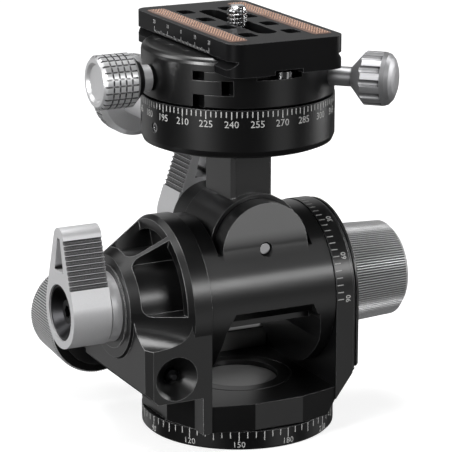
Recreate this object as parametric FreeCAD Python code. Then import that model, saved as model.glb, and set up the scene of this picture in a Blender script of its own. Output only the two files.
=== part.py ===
"""Geared tripod head: one solid per physical piece, written as one STEP file per node."""
import FreeCAD, Part
import math
import os

V = FreeCAD.Vector

# ---- Driving dimensions, millimetres and degrees ----------------------------------------------

# Fits
running_gap = 0.06        # radial clearance of a shaft that turns in its bore
free_gap = 0.3            # clearance between bodies that move past each other
seat_gap = 0.05           # a fixed piece in its own recess
thread_gap = 0.02         # a screw in its plain threaded hole
slide_gap = 0.1           # clearance of a sliding or pressed face
worm_end_gap = 0.2        # a shaft's end short of its bore's floor
through = 60.0            # reach of a cut that passes right through a piece
rounding_steps = 4        # facets of a rounded rim
hex_sides = 6

# Base and yoke floor
base_radius = 30.5
base_height = 6.0
base_edge = 0.6
tripod_thread_bore = 4.0
tripod_thread_depth = 9.0
spindle_radius = 9.0
spindle_flange_radius = 14.0
spindle_flange_height = 2.5
spindle_ledge_height = 10.0
spindle_neck_radius = 7.0
base_lock_radius = 1.7
base_lock_knob_radius = 5.4
base_lock_knob_start = 31.0
base_lock_knob_length = 10.0
base_lock_pad_length = 3.0
base_lock_knob_edge = 0.9
base_lock_flute_radius = 0.6
base_lock_flute_count = 12
spindle_nut_radius = 11.6
spindle_nut_height = 2.0
nut_key_radius = 0.9
nut_key_depth = 1.0
nut_key_count = 4
base_screw_circle = 11.3
base_screw_count = 6
base_screw_head_radius = 2.2
base_screw_head_height = 1.05
base_screw_sink = 0.2
base_screw_radius = 1.25
base_screw_length = 4.8
base_screw_socket = 1.0
washer_radius = 21.0
washer_height = 0.3
floor_thickness = 8.5
floor_front = 29.0
floor_facet_half = 8.25
floor_shoulder = 25.6
cap_radius = 12.8
cap_height = 1.0
cap_sink = 1.5
floor_ring_radius = 17.0
floor_ring_width = 0.35
floor_ring_depth = 0.3
cap_edge = 0.3
rear_wall_height = 5.6
rear_wall_thickness = 4.5
rear_wall_half = 17.5

# Axes
pitch_axis_height = 43.2

# Worm drives: three alike
tooth_count = 28
tooth_module = 1.0
worm_pitch_radius = 3.5
tooth_addendum = 0.85
tooth_dedendum = 1.1
tooth_thickness = 1.38
flank_angle = 20.0
wheel_face = 5.0
worm_turns = 4
wheel_bore_radius = 9.0
worm_journal_radius = 2.5
bush_radius = 4.8
bush_length = 3.5
worm_nose_radius = 2.1
worm_nose_edge = 1.2
worm_tip_sink = 1.9
knob_bore_depth = 12.0

# Drum
drum_inset = 0.2          # of the drum's surface behind the towers' front faces
drum_half_width = 21.2
ear_radius = 14.5
ear_face = 19.2
saddle_radius = 16.1
groove_reach = 0.5
ear_blend = 8.0
back_ear_radius = 10.0
back_ear_end = 21.7
back_ear_foot = 19.0
pitch_shaft_radius = 8.0
pitch_shaft_seat = 3.2
roll_bore_start = 17.2
journal_seat = 2.0
journal_radius = 12.0
journal_rim_radius = 14.6
journal_rim_stand = 1.8
journal_rim_edge = 0.4
journal_relief_radius = 9.0
journal_relief_wall = 5.0
journal_relief_end = 1.0
notch_left = -13.0
notch_right = 16.0
notch_top = 39.6
notch_depth = 8.0
drum_flat = 36.6          # height of the flat under the drum, in its left and middle part

# Column and its hub
column_half_width = 7.0
column_front = 10.3
column_back = 8.1
column_edge = 1.2
hub_front = 12.8
hub_back = 8.3
hub_slot_half = 5.1
hub_slot_rise = 4.0       # of the worm slot above the roll axis
wheel_seat_gap = 0.2
roll_axle_radius = 4.0
roll_pin_tip_radius = 2.1
roll_axle_tip_edge = 0.4
roll_axle_step = 3.0      # length of the axle's full radius inside the front ear
roll_scale_radius = 12.6
roll_scale_slope = 0.6
roll_scale_cone = 2.6

# Towers
tower_inner = 21.5
ring_proud = 0.5
ring_outer_face = 27.4
tower_depth = 26.0
tower_bottom_chamfer_top = 18.6
tower_bottom_chamfer_end = 19.7
tower_foot_height = 8.3
chamfer_overrun = 8.0
cheek_thickness = 2.1
cheek_groove = 0.7          # width, depth and distance from the inner face
cheek_inset = 0.4
gearbox_outer_face = 43.1
gearbox_back = 21.5
gearbox_bottom = 18.2
gearbox_side_chamfer = 3.5
gearbox_front_chamfer = 2.0
gearbox_shoulder = ((43.1, -7.6), (35.1, -6.4), (31.1, -4.7), (27.8, -2.0), (27.1, 0.0))  # reach, above axis
foot_strip = 3.1
foot_facet_y = 20.0
foot_reach = 29.0
foot_flat_half = 9.0
cone_small_radius = 16.0
cone_end = 44.0
hub_boss_radius = 13.0
hub_boss_end = 44.4
core_radius = 16.6
wheel_room_radius = 15.3
spoke_half_angle = 1.9
spoke_angles = (63.0, 117.0)
window_start_angle = 3.0
ring_wall = 4.2
worm_offset = 33.4
countersink_radius = 6.9
countersink_depth = 4.2
worm_mouth_radius = 2.7
front_bush_start = 17.8
scoop_depth = 8.0         # of the hollow's floor under the tilt axis
scoop_sink = 0.1          # of the hollow into the cone at the axis level
scoop_reach = 30.0
scoop_roundness = 0.55
scoop_sections = ((-5.0, 1.6), (23.0, 13.6))    # along the cone's front line, width of the round
window_floor = 1.4            # of the spokes' windows behind the ring's outer face
window_rim = 3.2
window_end_wall = 3.0
window_corner_radius = 3.0
shaft_neck_radius = 6.5
bearing_cover_radius = 18.0
bearing_cover_depth = 3.2
bearing_cover_sink = 0.1
cover_screw_circle = 14.0
cover_screw_count = 4
cover_screw_head_radius = 1.9
cover_screw_head_height = 1.2
cover_screw_sink = 0.2
cheek_screw_reach = 18.0
cheek_screw_low = -17.2
cheek_screw_high = 8.8
cheek_screw_radius = 2.0
rear_boss_radius = 8.6
rear_boss_length = 8.0

# Levers
lever_width = 12.6
lever_hub_radius = 11.2
lever_reach = 26.8
lever_tip_radius = 3.9
lever_recess_radius = 8.8
lever_recess_depth = 5.5
lever_groove_count = 10
lever_groove_start = 6.4
lever_groove_pitch = 1.55
lever_groove_depth = 0.7
lever_window_start = 13.2
lever_window_half = 3.4
lever_window_tip_half = 0.9
lever_window_past = 0.6   # of the window's end beyond the tip's centre
lever_screw_sink = 0.6
lever_dish_mouth_radius = 7.9
lever_dish_floor_radius = 4.6
lever_screw_head_radius = 3.7
lever_screw_base = 1.2
lever_screw_height = 1.8
lever_socket_radius = 2.1
lever_socket_floor = 1.0
roll_sleeve_length = 1.6
roll_sleeve_radius = 10.4
pitch_sleeve_length = 3.2
pitch_sleeve_radius = 11.0

# Large knobs on the pitch and roll worms
knob_radius = 16.2
knob_tip_radius = 15.3
knob_length = 21.5
knob_edge = 1.6
knob_back_edge = 0.6
knob_ridge_count = 120
knob_ridge_depth = 0.38
knob_groove_half = 1.05   # half width of a ridge's cutter, 1 mm outside the knob
knob_plain_inset = 0.9
knob_dish_radius = 11.5
knob_dish_depth = 0.5
knob_collar_radius = 12.8
knob_collar_sink = 1.2
knob_recess_gap = 0.2
roll_collar_length = 2.6
pitch_collar_length = 3.2
roll_knob_start = 32.8
pitch_knob_start = 34.5

# Pan disc and its worm knob
disc_radius = 30.0
disc_bottom = 91.8
disc_height = 15.0
pan_worm_depth = 7.4      # of the pan worm's axis below the disc's top
disc_edge = 2.4
disc_under_edge = 0.7
pan_cover_radius = 19.0
pan_cover_thickness = 2.6
pan_neck_radius = 11.0
pan_knob_radius = 12.9
pan_knob_length = 7.6
pan_knob_cone = 1.6
pan_knob_edge = 0.9
pan_knob_bore_depth = 5.0
pan_stud_rows = 4
pan_stud_columns = 30
stud_gap = 0.55
stud_height = 0.55
pan_knob_start = 36.4
pan_sleeve_radius = 6.0
set_screw_radius = 1.6
set_screw_length = 2.6
set_screw_sink = 0.35
set_screw_rise = 6.8
set_screw_angles = (161.0, 186.0)
pan_bore_start = 17.0
pan_spot_face = 21.0

# Clamp
clamp_gap = 0.4           # between the pan disc and the clamp
clamp_height = 15.2
clamp_lip = 4.2           # of the jaws above the plate's underside
clamp_radius = 29.8
clamp_edge = 2.2
clamp_under_edge = 0.4
jaw_shoulder = 23.9
jaw_shoulder_gap = 2.5
jaw_tongue = 17.5
jaw_tongue_gap = 3.1
jaw_lower_wall = 4.1
tongue_height = 4.2
clamp_screw_radius = 1.6
clamp_stem_radius = 4.1
clamp_stem_gap = 0.6      # of the stem from the jaw, and of the screw's end from the hub
clamp_collar_radius = 5.2
clamp_collar_length = 2.4
clamp_knob_radius = 8.3
clamp_knob_length = 12.0
clamp_knob_start = 36.0
clamp_knob_edge = 1.0
clamp_knob_wall = 3.0
clamp_dish_rim = 1.1
clamp_dish_depth = 0.9
clamp_stud_rows = 5
clamp_stud_columns = 24
spring_radius = 1.7
spring_wall = 0.5
spring_pocket = 3.0
spring_places = (-11.0, 11.0)
hub_stub_radius = 10.0
hub_stub_drop = 2.0       # of the stub's top below the plate
hub_stub_gap = 0.2
lock_angle = -45.0
lock_groove_depth = 1.2
lock_groove_flat = 1.8
lock_pad_stand = 1.5
lock_stem_radius = 3.0
lock_knob_radius = 8.2
lock_knob_length = 13.5
lock_knob_start = 36.8
lock_flute_count = 12
lock_flute_radius = 1.25
lock_flute_offset = 0.45
lock_neck_radius = 3.4
lock_cone_length = 4.2
lock_dome_length = 3.4
lock_dome_drop = 5.6
safety_pin_radius = 2.6
safety_pin_x = 2.1
safety_pin_y = -26.6
safety_pin_length = 7.6
safety_pin_tail_length = 2.8
safety_pin_tail_radius = 1.5
safety_pin_travel = 1.5
safety_pin_edge = 0.6
notch_floor_drop = 2.5
notch_reach = 24.0
notch_x = (-8.0, 7.0)
pin_groove_x = (-4.8, 4.4)      # of the plate's groove over the safety pin
pin_groove_depth = 1.3
pin_groove_end = -15.5

# Quick-release plate, 38 mm wide over its dovetail
plate_half_width = 19.0
plate_half_length = 35.0
plate_centre_y = 0.5
plate_height = 10.0
plate_slab = 5.2
plate_flange = 2.1
plate_corner = 4.5
vee_depth = 2.3
grip_width = 6.2
grip_offset = 14.0
grip_half_length = 29.3
grip_sink = 0.9
grip_stand = 0.35
camera_screw_radius = 3.175
camera_screw_stand = 5.0
camera_screw_edge = 0.6
camera_screw_neck_radius = 3.0
camera_screw_neck_stand = 0.4
driver_slot_half = 0.6
driver_slot_depth = 1.4
screw_head_radius = 5.6
screw_head_height = 3.0
slot_half_width = 3.4
slot_half_length = 22.5
head_slot_inset = 2.0
head_slot_corner = 1.0
window_length = 6.6
window_width = 4.9
window_offset = 7.2
window_count = 4
window_pitch = 14.3
window_corner = 1.2

# ---- Derived places ----------------------------------------------------------------------------

wheel_pitch_radius = tooth_module * tooth_count / 2
wheel_tip_radius = wheel_pitch_radius + tooth_addendum
worm_tip_radius = worm_pitch_radius + tooth_addendum
centre_distance = wheel_pitch_radius + worm_pitch_radius
worm_lead = math.pi * tooth_module
roll_axis_height = pitch_axis_height + centre_distance
pitch_worm_height = pitch_axis_height - centre_distance
floor_bottom = base_height + washer_height
floor_top = floor_bottom + floor_thickness
wheel_room_half = wheel_face / 2 + 2 * free_gap
gear_x = -worm_offset
drum_radius = tower_depth - drum_inset
ring_radius = tower_depth + ring_proud
cheek_radius = tower_depth - cheek_inset
disc_top = disc_bottom + disc_height
pan_worm_height = disc_top - pan_worm_depth
pan_worm_x = -centre_distance
clamp_bottom = disc_top + clamp_gap
clamp_top = clamp_bottom + clamp_height
plate_bottom = clamp_top - clamp_lip
plate_top = plate_bottom + plate_height
tongue_low = clamp_bottom + jaw_lower_wall
tongue_high = tongue_low + tongue_height
clamp_screw_height = (tongue_low + tongue_high) / 2
lock_height = clamp_screw_height
hub_stub_top = plate_bottom - hub_stub_drop
safety_pin_top = plate_bottom
safety_pin_bottom = safety_pin_top - safety_pin_length


# ---- Helpers -----------------------------------------------------------------------------------

def placed(shape, at, z_direction, x_direction):
    """Move a shape from its own frame to a point, with its Z and X along the given directions."""
    rotation = FreeCAD.Rotation(x_direction, z_direction.cross(x_direction), z_direction, "ZXY")
    moved = shape.copy()
    moved.Placement = FreeCAD.Placement(at, rotation)
    return moved


AXES = {
    "X": (V(1, 0, 0), V(0, 1, 0)),
    "-X": (V(-1, 0, 0), V(0, -1, 0)),
    "Y": (V(0, 1, 0), V(1, 0, 0)),
    "-Y": (V(0, -1, 0), V(-1, 0, 0)),
    "Z": (V(0, 0, 1), V(1, 0, 0)),
    "-Z": (V(0, 0, -1), V(-1, 0, 0)),
}


def turned(stations, axis="Z", at=V(0, 0, 0)):
    """Solid of revolution through (distance along the axis, radius) stations."""
    first = V(0, 0, stations[0][0])
    last = V(0, 0, stations[-1][0])
    points = [first] + [V(r, 0, s) for s, r in stations] + [last, first]
    kept = [points[0]]
    for point in points[1:]:
        if point.distanceToPoint(kept[-1]) > 1e-6:
            kept.append(point)
    face = Part.Face(Part.makePolygon(kept))
    solid = face.revolve(V(0, 0, 0), V(0, 0, 1), 360)
    return placed(solid, at, *AXES[axis])


def rod(radius, start, end, axis="Z", at=V(0, 0, 0)):
    return turned([(start, radius), (end, radius)], axis, at)


def tube(radius, bore, start, end, axis="Z", at=V(0, 0, 0)):
    return rod(radius, start, end, axis, at).cut(rod(bore, start - 1, end + 1, axis, at))


def block(x0, x1, y0, y1, z0, z1):
    return Part.makeBox(x1 - x0, y1 - y0, z1 - z0, V(x0, y0, z0))


def extruded(points, direction):
    """Prism of a closed outline of points, pushed along a vector."""
    return Part.Face(Part.makePolygon(points + points[:1])).extrude(direction)


def joined(shapes):
    result = shapes[0]
    for shape in shapes[1:]:
        result = result.fuse(shape)
    return result.removeSplitter()


def without(shape, tools):
    return shape.cut(tools).removeSplitter()


def around(shape, count, centre, direction, first=0.0):
    """Copies of a shape spaced evenly about an axis."""
    copies = []
    for index in range(count):
        copy = shape.copy()
        copy.rotate(centre, direction, first + 360.0 * index / count)
        copies.append(copy)
    return copies


# ---- Worm drives -------------------------------------------------------------------------------

def worm_wheel(bore_radius):
    """Wheel with slanted teeth about Z, a tooth gap facing +X at mid height."""
    pitch_half = tooth_thickness / 2 / wheel_pitch_radius
    slope = math.tan(math.radians(flank_angle))
    tip_radius = wheel_tip_radius
    root_radius = wheel_pitch_radius - tooth_dedendum
    tip_half = (tooth_thickness / 2 - tooth_addendum * slope) / tip_radius
    root_half = pitch_half + tooth_dedendum * slope / root_radius
    twist = wheel_face * worm_lead / (2 * math.pi * worm_pitch_radius) / wheel_pitch_radius
    step = 2 * math.pi / tooth_count

    def outline(z, turn):
        points = []
        for index in range(tooth_count):
            middle = (index + 0.5) * step + turn
            for radius, offset in ((root_radius, -root_half), (tip_radius, -tip_half),
                                   (tip_radius, tip_half), (root_radius, root_half)):
                angle = middle + offset
                points.append(V(radius * math.cos(angle), radius * math.sin(angle), z))
        return Part.makePolygon(points + points[:1])

    half = wheel_face / 2
    teeth = Part.makeLoft([outline(-half, -twist / 2), outline(half, twist / 2)], True, True)
    return teeth.cut(rod(bore_radius, -wheel_face, wheel_face))


def worm_thread():
    """One-start right-hand worm thread about Z, its crest facing +X at height 0."""
    slope = math.tan(math.radians(flank_angle))
    root_radius = worm_pitch_radius - tooth_dedendum
    tip_half = tooth_thickness / 2 - tooth_addendum * slope
    root_half = tooth_thickness / 2 + tooth_dedendum * slope
    height = worm_turns * worm_lead
    start = -height / 2
    helix = Part.makeHelix(worm_lead, height, worm_pitch_radius)
    helix.translate(V(0, 0, start))
    inset = 0.3
    corners = [
        V(root_radius - inset, 0, start - root_half),
        V(worm_tip_radius, 0, start - tip_half),
        V(worm_tip_radius, 0, start + tip_half),
        V(root_radius - inset, 0, start + root_half),
    ]
    profile = Part.makePolygon(corners + corners[:1])
    sweep = Part.Wire(helix.Edges).makePipeShell([profile], True, True)
    return sweep


def worm_shaft(stations, thread_at, axis, at, toward_wheel):
    """Shaft through (distance, radius) stations with the thread cut on it at one place."""
    directions = {"X": V(1, 0, 0), "Y": V(0, 1, 0)}
    root_radius = worm_pitch_radius - tooth_dedendum
    half = worm_turns * worm_lead / 2
    core = turned(stations, axis, at)
    z_direction = directions[axis]
    thread = placed(worm_thread(), at + z_direction * thread_at, z_direction, toward_wheel)
    middle = rod(root_radius, thread_at - half, thread_at + half, axis, at)
    return core.fuse([middle, thread]).removeSplitter()


# ---- Base --------------------------------------------------------------------------------------

def make_base_ring():
    outer = turned([(0, base_radius - base_edge), (base_edge, base_radius), (base_height, base_radius)])
    bore = rod(spindle_radius, -1, base_height + 1)
    seat = rod(spindle_flange_radius, -1, spindle_flange_height)
    return without(outer, [bore, seat] + base_screw_shapes(seat_gap))


def base_screw_shapes(gap=0.0):
    """Cap screws that hold the spindle's flange in the base ring, drawn larger by the gap as holes."""
    neck = base_screw_sink + base_screw_head_height
    end = base_screw_sink + base_screw_length
    mouth = base_screw_sink if gap == 0 else -1
    screw = turned([(mouth, base_screw_head_radius + gap), (neck, base_screw_head_radius + gap),
                    (neck, base_screw_radius + gap), (end + gap, base_screw_radius + gap)],
                   "Z", V(base_screw_circle, 0, 0))
    return around(screw, base_screw_count, V(0, 0, 0), V(0, 0, 1))


def make_base_spindle():
    body = turned([
        (0, spindle_flange_radius),
        (spindle_flange_height, spindle_flange_radius),
        (spindle_flange_height, spindle_radius),
        (spindle_ledge_height, spindle_radius),
        (spindle_ledge_height, spindle_neck_radius),
        (spindle_ledge_height + spindle_nut_height, spindle_neck_radius),
    ])
    bore = rod(tripod_thread_bore, -1, tripod_thread_depth)
    return without(body, [bore] + base_screw_shapes(seat_gap))


def make_base_screws():
    depth = base_screw_sink + 0.7 * base_screw_head_height
    sockets = around(rod(base_screw_socket, -1, depth, "Z", V(base_screw_circle, 0, 0)), base_screw_count,
                     V(0, 0, 0), V(0, 0, 1))
    return Part.Compound([screw.cut(socket) for screw, socket in zip(base_screw_shapes(), sockets)])


def make_spindle_nut():
    bottom = spindle_ledge_height
    top = bottom + spindle_nut_height
    nut = tube(spindle_nut_radius, spindle_neck_radius, bottom, top)
    circle = (spindle_nut_radius + spindle_neck_radius) / 2
    keys = around(rod(nut_key_radius, top - nut_key_depth, top + 1, "Z", V(circle, 0, 0)), nut_key_count,
                  V(0, 0, 0), V(0, 0, 1))
    return without(nut, keys)


def make_bearing_washer():
    return tube(washer_radius, spindle_radius + seat_gap, base_height, base_height + washer_height)


def floor_outline(z):
    side = tower_inner
    points = [
        (-floor_facet_half, -floor_front), (floor_facet_half, -floor_front),
        (side, -floor_shoulder), (side, floor_shoulder),
        (floor_facet_half, floor_front), (-floor_facet_half, floor_front),
        (-side, floor_shoulder), (-side, -floor_shoulder),
    ]
    return [V(x, y, z) for x, y in points]


def tower_chamfer_tool():
    """Wedge that slopes the underside of the right tower and the floor's right edge."""
    x0 = tower_bottom_chamfer_end
    x1 = ring_outer_face + cheek_thickness
    slope = (tower_bottom_chamfer_top - tower_foot_height) / (ring_outer_face - x0)
    z1 = tower_foot_height + (x1 - x0) * slope
    start = x0 - chamfer_overrun
    points = [V(start, -through, tower_foot_height - chamfer_overrun * slope), V(x1, -through, z1),
              V(x1 + chamfer_overrun, -through, z1), V(x1 + chamfer_overrun, -through, -1), V(start, -through, -1)]
    return extruded(points, V(0, 2 * through, 0))


def make_yoke_floor():
    plate = extruded(floor_outline(floor_bottom), V(0, 0, floor_thickness))
    wall_top = floor_top + rear_wall_height
    wall = block(-rear_wall_half, rear_wall_half, floor_shoulder - rear_wall_thickness, floor_shoulder,
                 floor_bottom, wall_top)
    cap_seat = floor_top - cap_sink - cap_height
    cuts = [
        rod(spindle_radius + running_gap, floor_bottom - 1, floor_top),
        rod(spindle_nut_radius + free_gap, spindle_ledge_height - free_gap, floor_top),
        rod(cap_radius + seat_gap, cap_seat, floor_top + 1),
        tube(floor_ring_radius + floor_ring_width, floor_ring_radius, floor_top - floor_ring_depth, floor_top + 1),
        tower_chamfer_tool(),
        rod(base_lock_radius + running_gap, spindle_neck_radius, through, "Y", V(0, 0, base_lock_height())),
    ]
    return without(plate.fuse(wall), cuts)


def base_lock_height():
    return (floor_bottom + spindle_ledge_height) / 2


def make_centre_cap():
    top = floor_top - cap_sink
    return turned([(top - cap_height, cap_radius), (top - cap_edge, cap_radius), (top, cap_radius - cap_edge)])


def make_base_lock_pad():
    at = V(0, 0, base_lock_height())
    pad = rod(base_lock_radius, spindle_neck_radius, spindle_radius + base_lock_pad_length, "Y", at)
    return pad.cut(rod(spindle_radius + running_gap, 0, 2 * base_height))


def make_base_lock_knob():
    """Small fluted knob on the screw that brakes the base pan."""
    at = V(0, 0, base_lock_height())
    start = base_lock_knob_start
    end = start + base_lock_knob_length
    radius = base_lock_knob_radius
    edge = base_lock_knob_edge
    knob = turned([(start, radius - edge), (start + edge, radius), (end - edge, radius), (end, radius - edge)],
                  "Y", at)
    stem = rod(base_lock_radius, spindle_radius + base_lock_pad_length + seat_gap, start + edge, "Y", at)
    flute = rod(base_lock_flute_radius, start - 1, end + 1, "Y", at + V(radius + base_lock_flute_radius / 3, 0, 0))
    flutes = around(flute, base_lock_flute_count, at, V(0, 1, 0))
    return joined([without(knob, flutes), stem])


# ---- Yoke towers -------------------------------------------------------------------------------

def pitch_at(x=0.0):
    return V(x, 0, pitch_axis_height)


def gearbox_shell():
    """Ring, cone, hub boss and gearbox block of the left tower, still solid inside."""
    body = turned([
        (tower_inner, ring_radius),
        (ring_outer_face, ring_radius),
        (cone_end, cone_small_radius),
        (cone_end, hub_boss_radius),
        (hub_boss_end, hub_boss_radius),
    ], "-X", pitch_at())
    foot_x = -tower_inner - foot_strip
    foot = extruded([
        V(-tower_inner, -tower_depth, floor_bottom), V(foot_x, -tower_depth, floor_bottom),
        V(foot_x, -foot_facet_y, floor_bottom), V(-foot_reach, -foot_flat_half, floor_bottom),
        V(-foot_reach, foot_flat_half, floor_bottom), V(foot_x, foot_facet_y, floor_bottom),
        V(-tower_inner, tower_depth, floor_bottom),
    ], V(0, 0, gearbox_bottom + gearbox_side_chamfer - floor_bottom))
    outline = [
        V(-tower_inner, -tower_depth, gearbox_bottom),
        V(-(gearbox_outer_face - gearbox_side_chamfer), -tower_depth, gearbox_bottom),
        V(-gearbox_outer_face, -tower_depth, gearbox_bottom + gearbox_side_chamfer),
    ]
    outline += [V(-reach, -tower_depth, pitch_axis_height + height) for reach, height in gearbox_shoulder]
    outline.append(V(-tower_inner, -tower_depth, pitch_axis_height))
    box = extruded(outline, V(0, tower_depth + gearbox_back, 0))
    shoulder = block(-gearbox_outer_face, -tower_inner, -tower_depth, 0, pitch_worm_height, pitch_axis_height)
    corner = gearbox_front_chamfer
    edge = extruded([
        V(-gearbox_outer_face - 1, -tower_depth - 1, 0),
        V(-gearbox_outer_face + corner, -tower_depth - 1, 0),
        V(-gearbox_outer_face + corner, -tower_depth, 0),
        V(-gearbox_outer_face, -tower_depth + corner, 0),
        V(-gearbox_outer_face - 1, -tower_depth + corner, 0),
    ], V(0, 0, 2 * pitch_axis_height))
    boss = rod(rear_boss_radius, gearbox_back - 1, gearbox_back + rear_boss_length, "Y",
               V(gear_x, 0, pitch_worm_height))
    return joined([body, joined([box, shoulder]).cut(edge), boss, foot])


def scoop_outline(along, spread):
    """Outline across the hollow, at a distance from the ring along the cone's front line."""
    ring = V(-ring_outer_face, -ring_radius, pitch_axis_height)
    line = V(-cone_end, -cone_small_radius, pitch_axis_height) - ring
    line.normalize()
    outward = V(-line.y, line.x, 0)
    top = ring + line * along - outward * scoop_sink
    floor = top + outward * spread - V(0, 0, scoop_depth)
    far = top + outward * scoop_reach
    curve = Part.BezierCurve()
    curve.setPoles([top, top - V(0, 0, scoop_depth * scoop_roundness),
                    floor - outward * (spread * scoop_roundness), floor])
    corners = [floor, far - V(0, 0, scoop_depth), far + V(0, 0, scoop_depth), top + V(0, 0, scoop_depth), top]
    edges = [curve.toShape()]
    for a, b in zip(corners[:-1], corners[1:]):
        edges.append(Part.LineSegment(a, b).toShape())
    return Part.Wire(edges)


def scoop_tool():
    """Hollow from the cone's front line down to the gearbox's top, wider towards the hub."""
    outlines = [scoop_outline(along, spread) for along, spread in scoop_sections]
    return Part.makeLoft(outlines, True, True)


def window_tool(start, end):
    """Sector of the cone between two spokes, in degrees from the front, turning upwards."""
    inner = core_radius
    outer = ring_radius - ring_wall
    clear = 2 * ring_radius
    x0 = -(ring_outer_face - window_floor)
    x1 = -(cone_end - window_end_wall)
    rim = x0 - window_rim
    profile = [V(x0, -inner, 0), V(x0, -outer, 0), V(rim, -outer, 0), V(rim, -clear, 0), V(x1, -clear, 0),
               V(x1, -inner, 0)]
    face = Part.Face(Part.makePolygon(profile + profile[:1]))
    sector = face.revolve(V(0, 0, 0), V(-1, 0, 0), end - start)
    corners = []
    for edge in sector.Edges:
        at_hub_side = all(abs(vertex.X - x1) < 1e-6 for vertex in edge.Vertexes)
        if at_hub_side and isinstance(edge.Curve, Part.Line):
            corners.append(edge)
    sector = sector.makeFillet(window_corner_radius, corners)
    sector.rotate(V(0, 0, 0), V(-1, 0, 0), start)
    sector.translate(pitch_at())
    return sector


def window_tools():
    edges = [window_start_angle - spoke_half_angle]
    edges += list(spoke_angles)
    edges += [180 - window_start_angle + spoke_half_angle]
    tools = []
    for start, end in zip(edges[:-1], edges[1:]):
        tools.append(window_tool(start + spoke_half_angle, end - spoke_half_angle))
    return tools


def make_left_tower():
    wheel_room = rod(wheel_room_radius, -gear_x - wheel_room_half, -gear_x + wheel_room_half, "-X", pitch_at())
    seat = tower_inner + bearing_cover_depth
    assembly_way = rod(wheel_room_radius, seat, -gear_x, "-X", pitch_at())
    cover_seat = rod(bearing_cover_radius + seat_gap, tower_inner - 1, seat, "-X", pitch_at())
    shaft_bore = rod(shaft_neck_radius + running_gap, tower_inner, hub_boss_end + 1, "-X", pitch_at())
    at = V(gear_x, 0, pitch_worm_height)
    worm_bore = rod(bush_radius, -front_bush_start, gearbox_back + rear_boss_length + 1, "Y", at)
    countersink = turned([(-tower_depth - 1, countersink_radius), (-tower_depth, countersink_radius),
                          (-tower_depth + countersink_depth, worm_mouth_radius),
                          (-front_bush_start + 1, worm_mouth_radius)], "Y", at)
    cuts = [wheel_room, assembly_way, cover_seat, shaft_bore, worm_bore, countersink, scoop_tool()]
    return without(gearbox_shell(), cuts + window_tools())


def make_bearing_cover():
    """Disc that closes the gearbox from the inside and carries the pitch shaft."""
    start = tower_inner + bearing_cover_sink
    end = tower_inner + bearing_cover_depth
    disc = rod(bearing_cover_radius, start, end, "-X", pitch_at())
    bore = rod(pitch_shaft_radius + running_gap, start - 1, end + 1, "-X", pitch_at())
    return disc.cut([bore] + cover_screw_shapes(running_gap))


def cover_screw_shapes(gap=0.0):
    """Cap screws round the bearing cover, drawn larger by the gap as holes."""
    head = cover_screw_head_radius + gap
    shank = head / 2
    start = tower_inner + bearing_cover_sink + cover_screw_sink
    neck = start + cover_screw_head_height
    end = tower_inner + bearing_cover_depth - seat_gap
    screw = turned([(start - gap, head), (neck, head), (neck, shank), (end, shank)], "-X",
                   pitch_at() + V(0, 0, cover_screw_circle))
    return around(screw, cover_screw_count, pitch_at(), V(1, 0, 0), 180 / cover_screw_count)


def make_bearing_cover_screws():
    return Part.Compound(cover_screw_shapes())


def make_right_tower():
    ring = rod(tower_depth, tower_inner, ring_outer_face, "X", pitch_at())
    leg = block(tower_inner, ring_outer_face, -tower_depth, tower_depth, floor_bottom, pitch_axis_height)
    bore = rod(journal_radius + running_gap, tower_inner - 1, ring_outer_face + 1, "X", pitch_at())
    return without(ring.fuse(leg), [bore, tower_chamfer_tool()])


def cheek_blank(inset, x0, x1):
    """Arch shape of the outer cheek, its outline drawn in by an inset."""
    radius = cheek_radius - inset
    ring = rod(radius, x0, x1, "X", pitch_at())
    return ring.fuse(block(x0, x1, -radius, radius, floor_bottom, pitch_axis_height))


def make_right_cheek():
    """Outer cheek on the right tower, with a narrow groove round its edge."""
    x0 = ring_outer_face
    x1 = x0 + cheek_thickness
    groove_start = x0 + cheek_groove
    groove_end = groove_start + cheek_groove
    groove_bottom = tower_bottom_chamfer_top + 2 * cheek_groove
    band = block(groove_start, groove_end, -tower_depth, tower_depth, groove_bottom, 2 * pitch_axis_height)
    groove = band.cut(cheek_blank(cheek_groove, groove_start, groove_end))
    bore = rod(journal_rim_radius + free_gap, x0 - 1, x1 + 1, "X", pitch_at())
    return without(cheek_blank(0, x0, x1), [bore, groove, tower_chamfer_tool()] + cheek_screw_shapes(running_gap))


def cheek_screw_shapes(gap=0.0):
    """Cap screws that hold the outer cheek and the right tower on the floor."""
    screws = []
    end = ring_outer_face + cheek_thickness - free_gap + gap
    for y in (-cheek_screw_reach, cheek_screw_reach):
        for height in (cheek_screw_low, cheek_screw_high):
            at = V(0, y, pitch_axis_height + height)
            screws.append(rod(cheek_screw_radius + gap, ring_outer_face, end, "X", at))
    return screws


def make_cheek_screws():
    socket = rod(cheek_screw_radius / 2, ring_outer_face + cheek_thickness / 2, 2 * tower_depth, "X")
    screws = []
    for screw in cheek_screw_shapes():
        hole = socket.copy()
        hole.translate(V(0, screw.CenterOfMass.y, screw.CenterOfMass.z))
        screws.append(screw.cut(hole))
    return Part.Compound(screws)


def make_pitch_worm_bushes():
    at = V(gear_x, 0, pitch_worm_height)
    bore = worm_journal_radius + running_gap
    front = tube(bush_radius, bore, -front_bush_start, -front_bush_start + bush_length, "Y", at)
    end = gearbox_back + rear_boss_length
    back = tube(bush_radius, bore, end - bush_length, end, "Y", at)
    return Part.Compound([front, back])


# ---- Pitch drive -------------------------------------------------------------------------------

def make_pitch_worm():
    at = V(gear_x, 0, pitch_worm_height)
    tip = -tower_depth + worm_tip_sink
    neck = -front_bush_start - running_gap
    stations = [(tip, worm_nose_radius - worm_nose_edge), (tip + worm_nose_edge, worm_nose_radius),
                (neck, worm_nose_radius), (neck, worm_journal_radius),
                (pitch_knob_start + knob_bore_depth, worm_journal_radius)]
    return worm_shaft(stations, 0.0, "Y", at, V(0, 0, 1))


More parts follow.
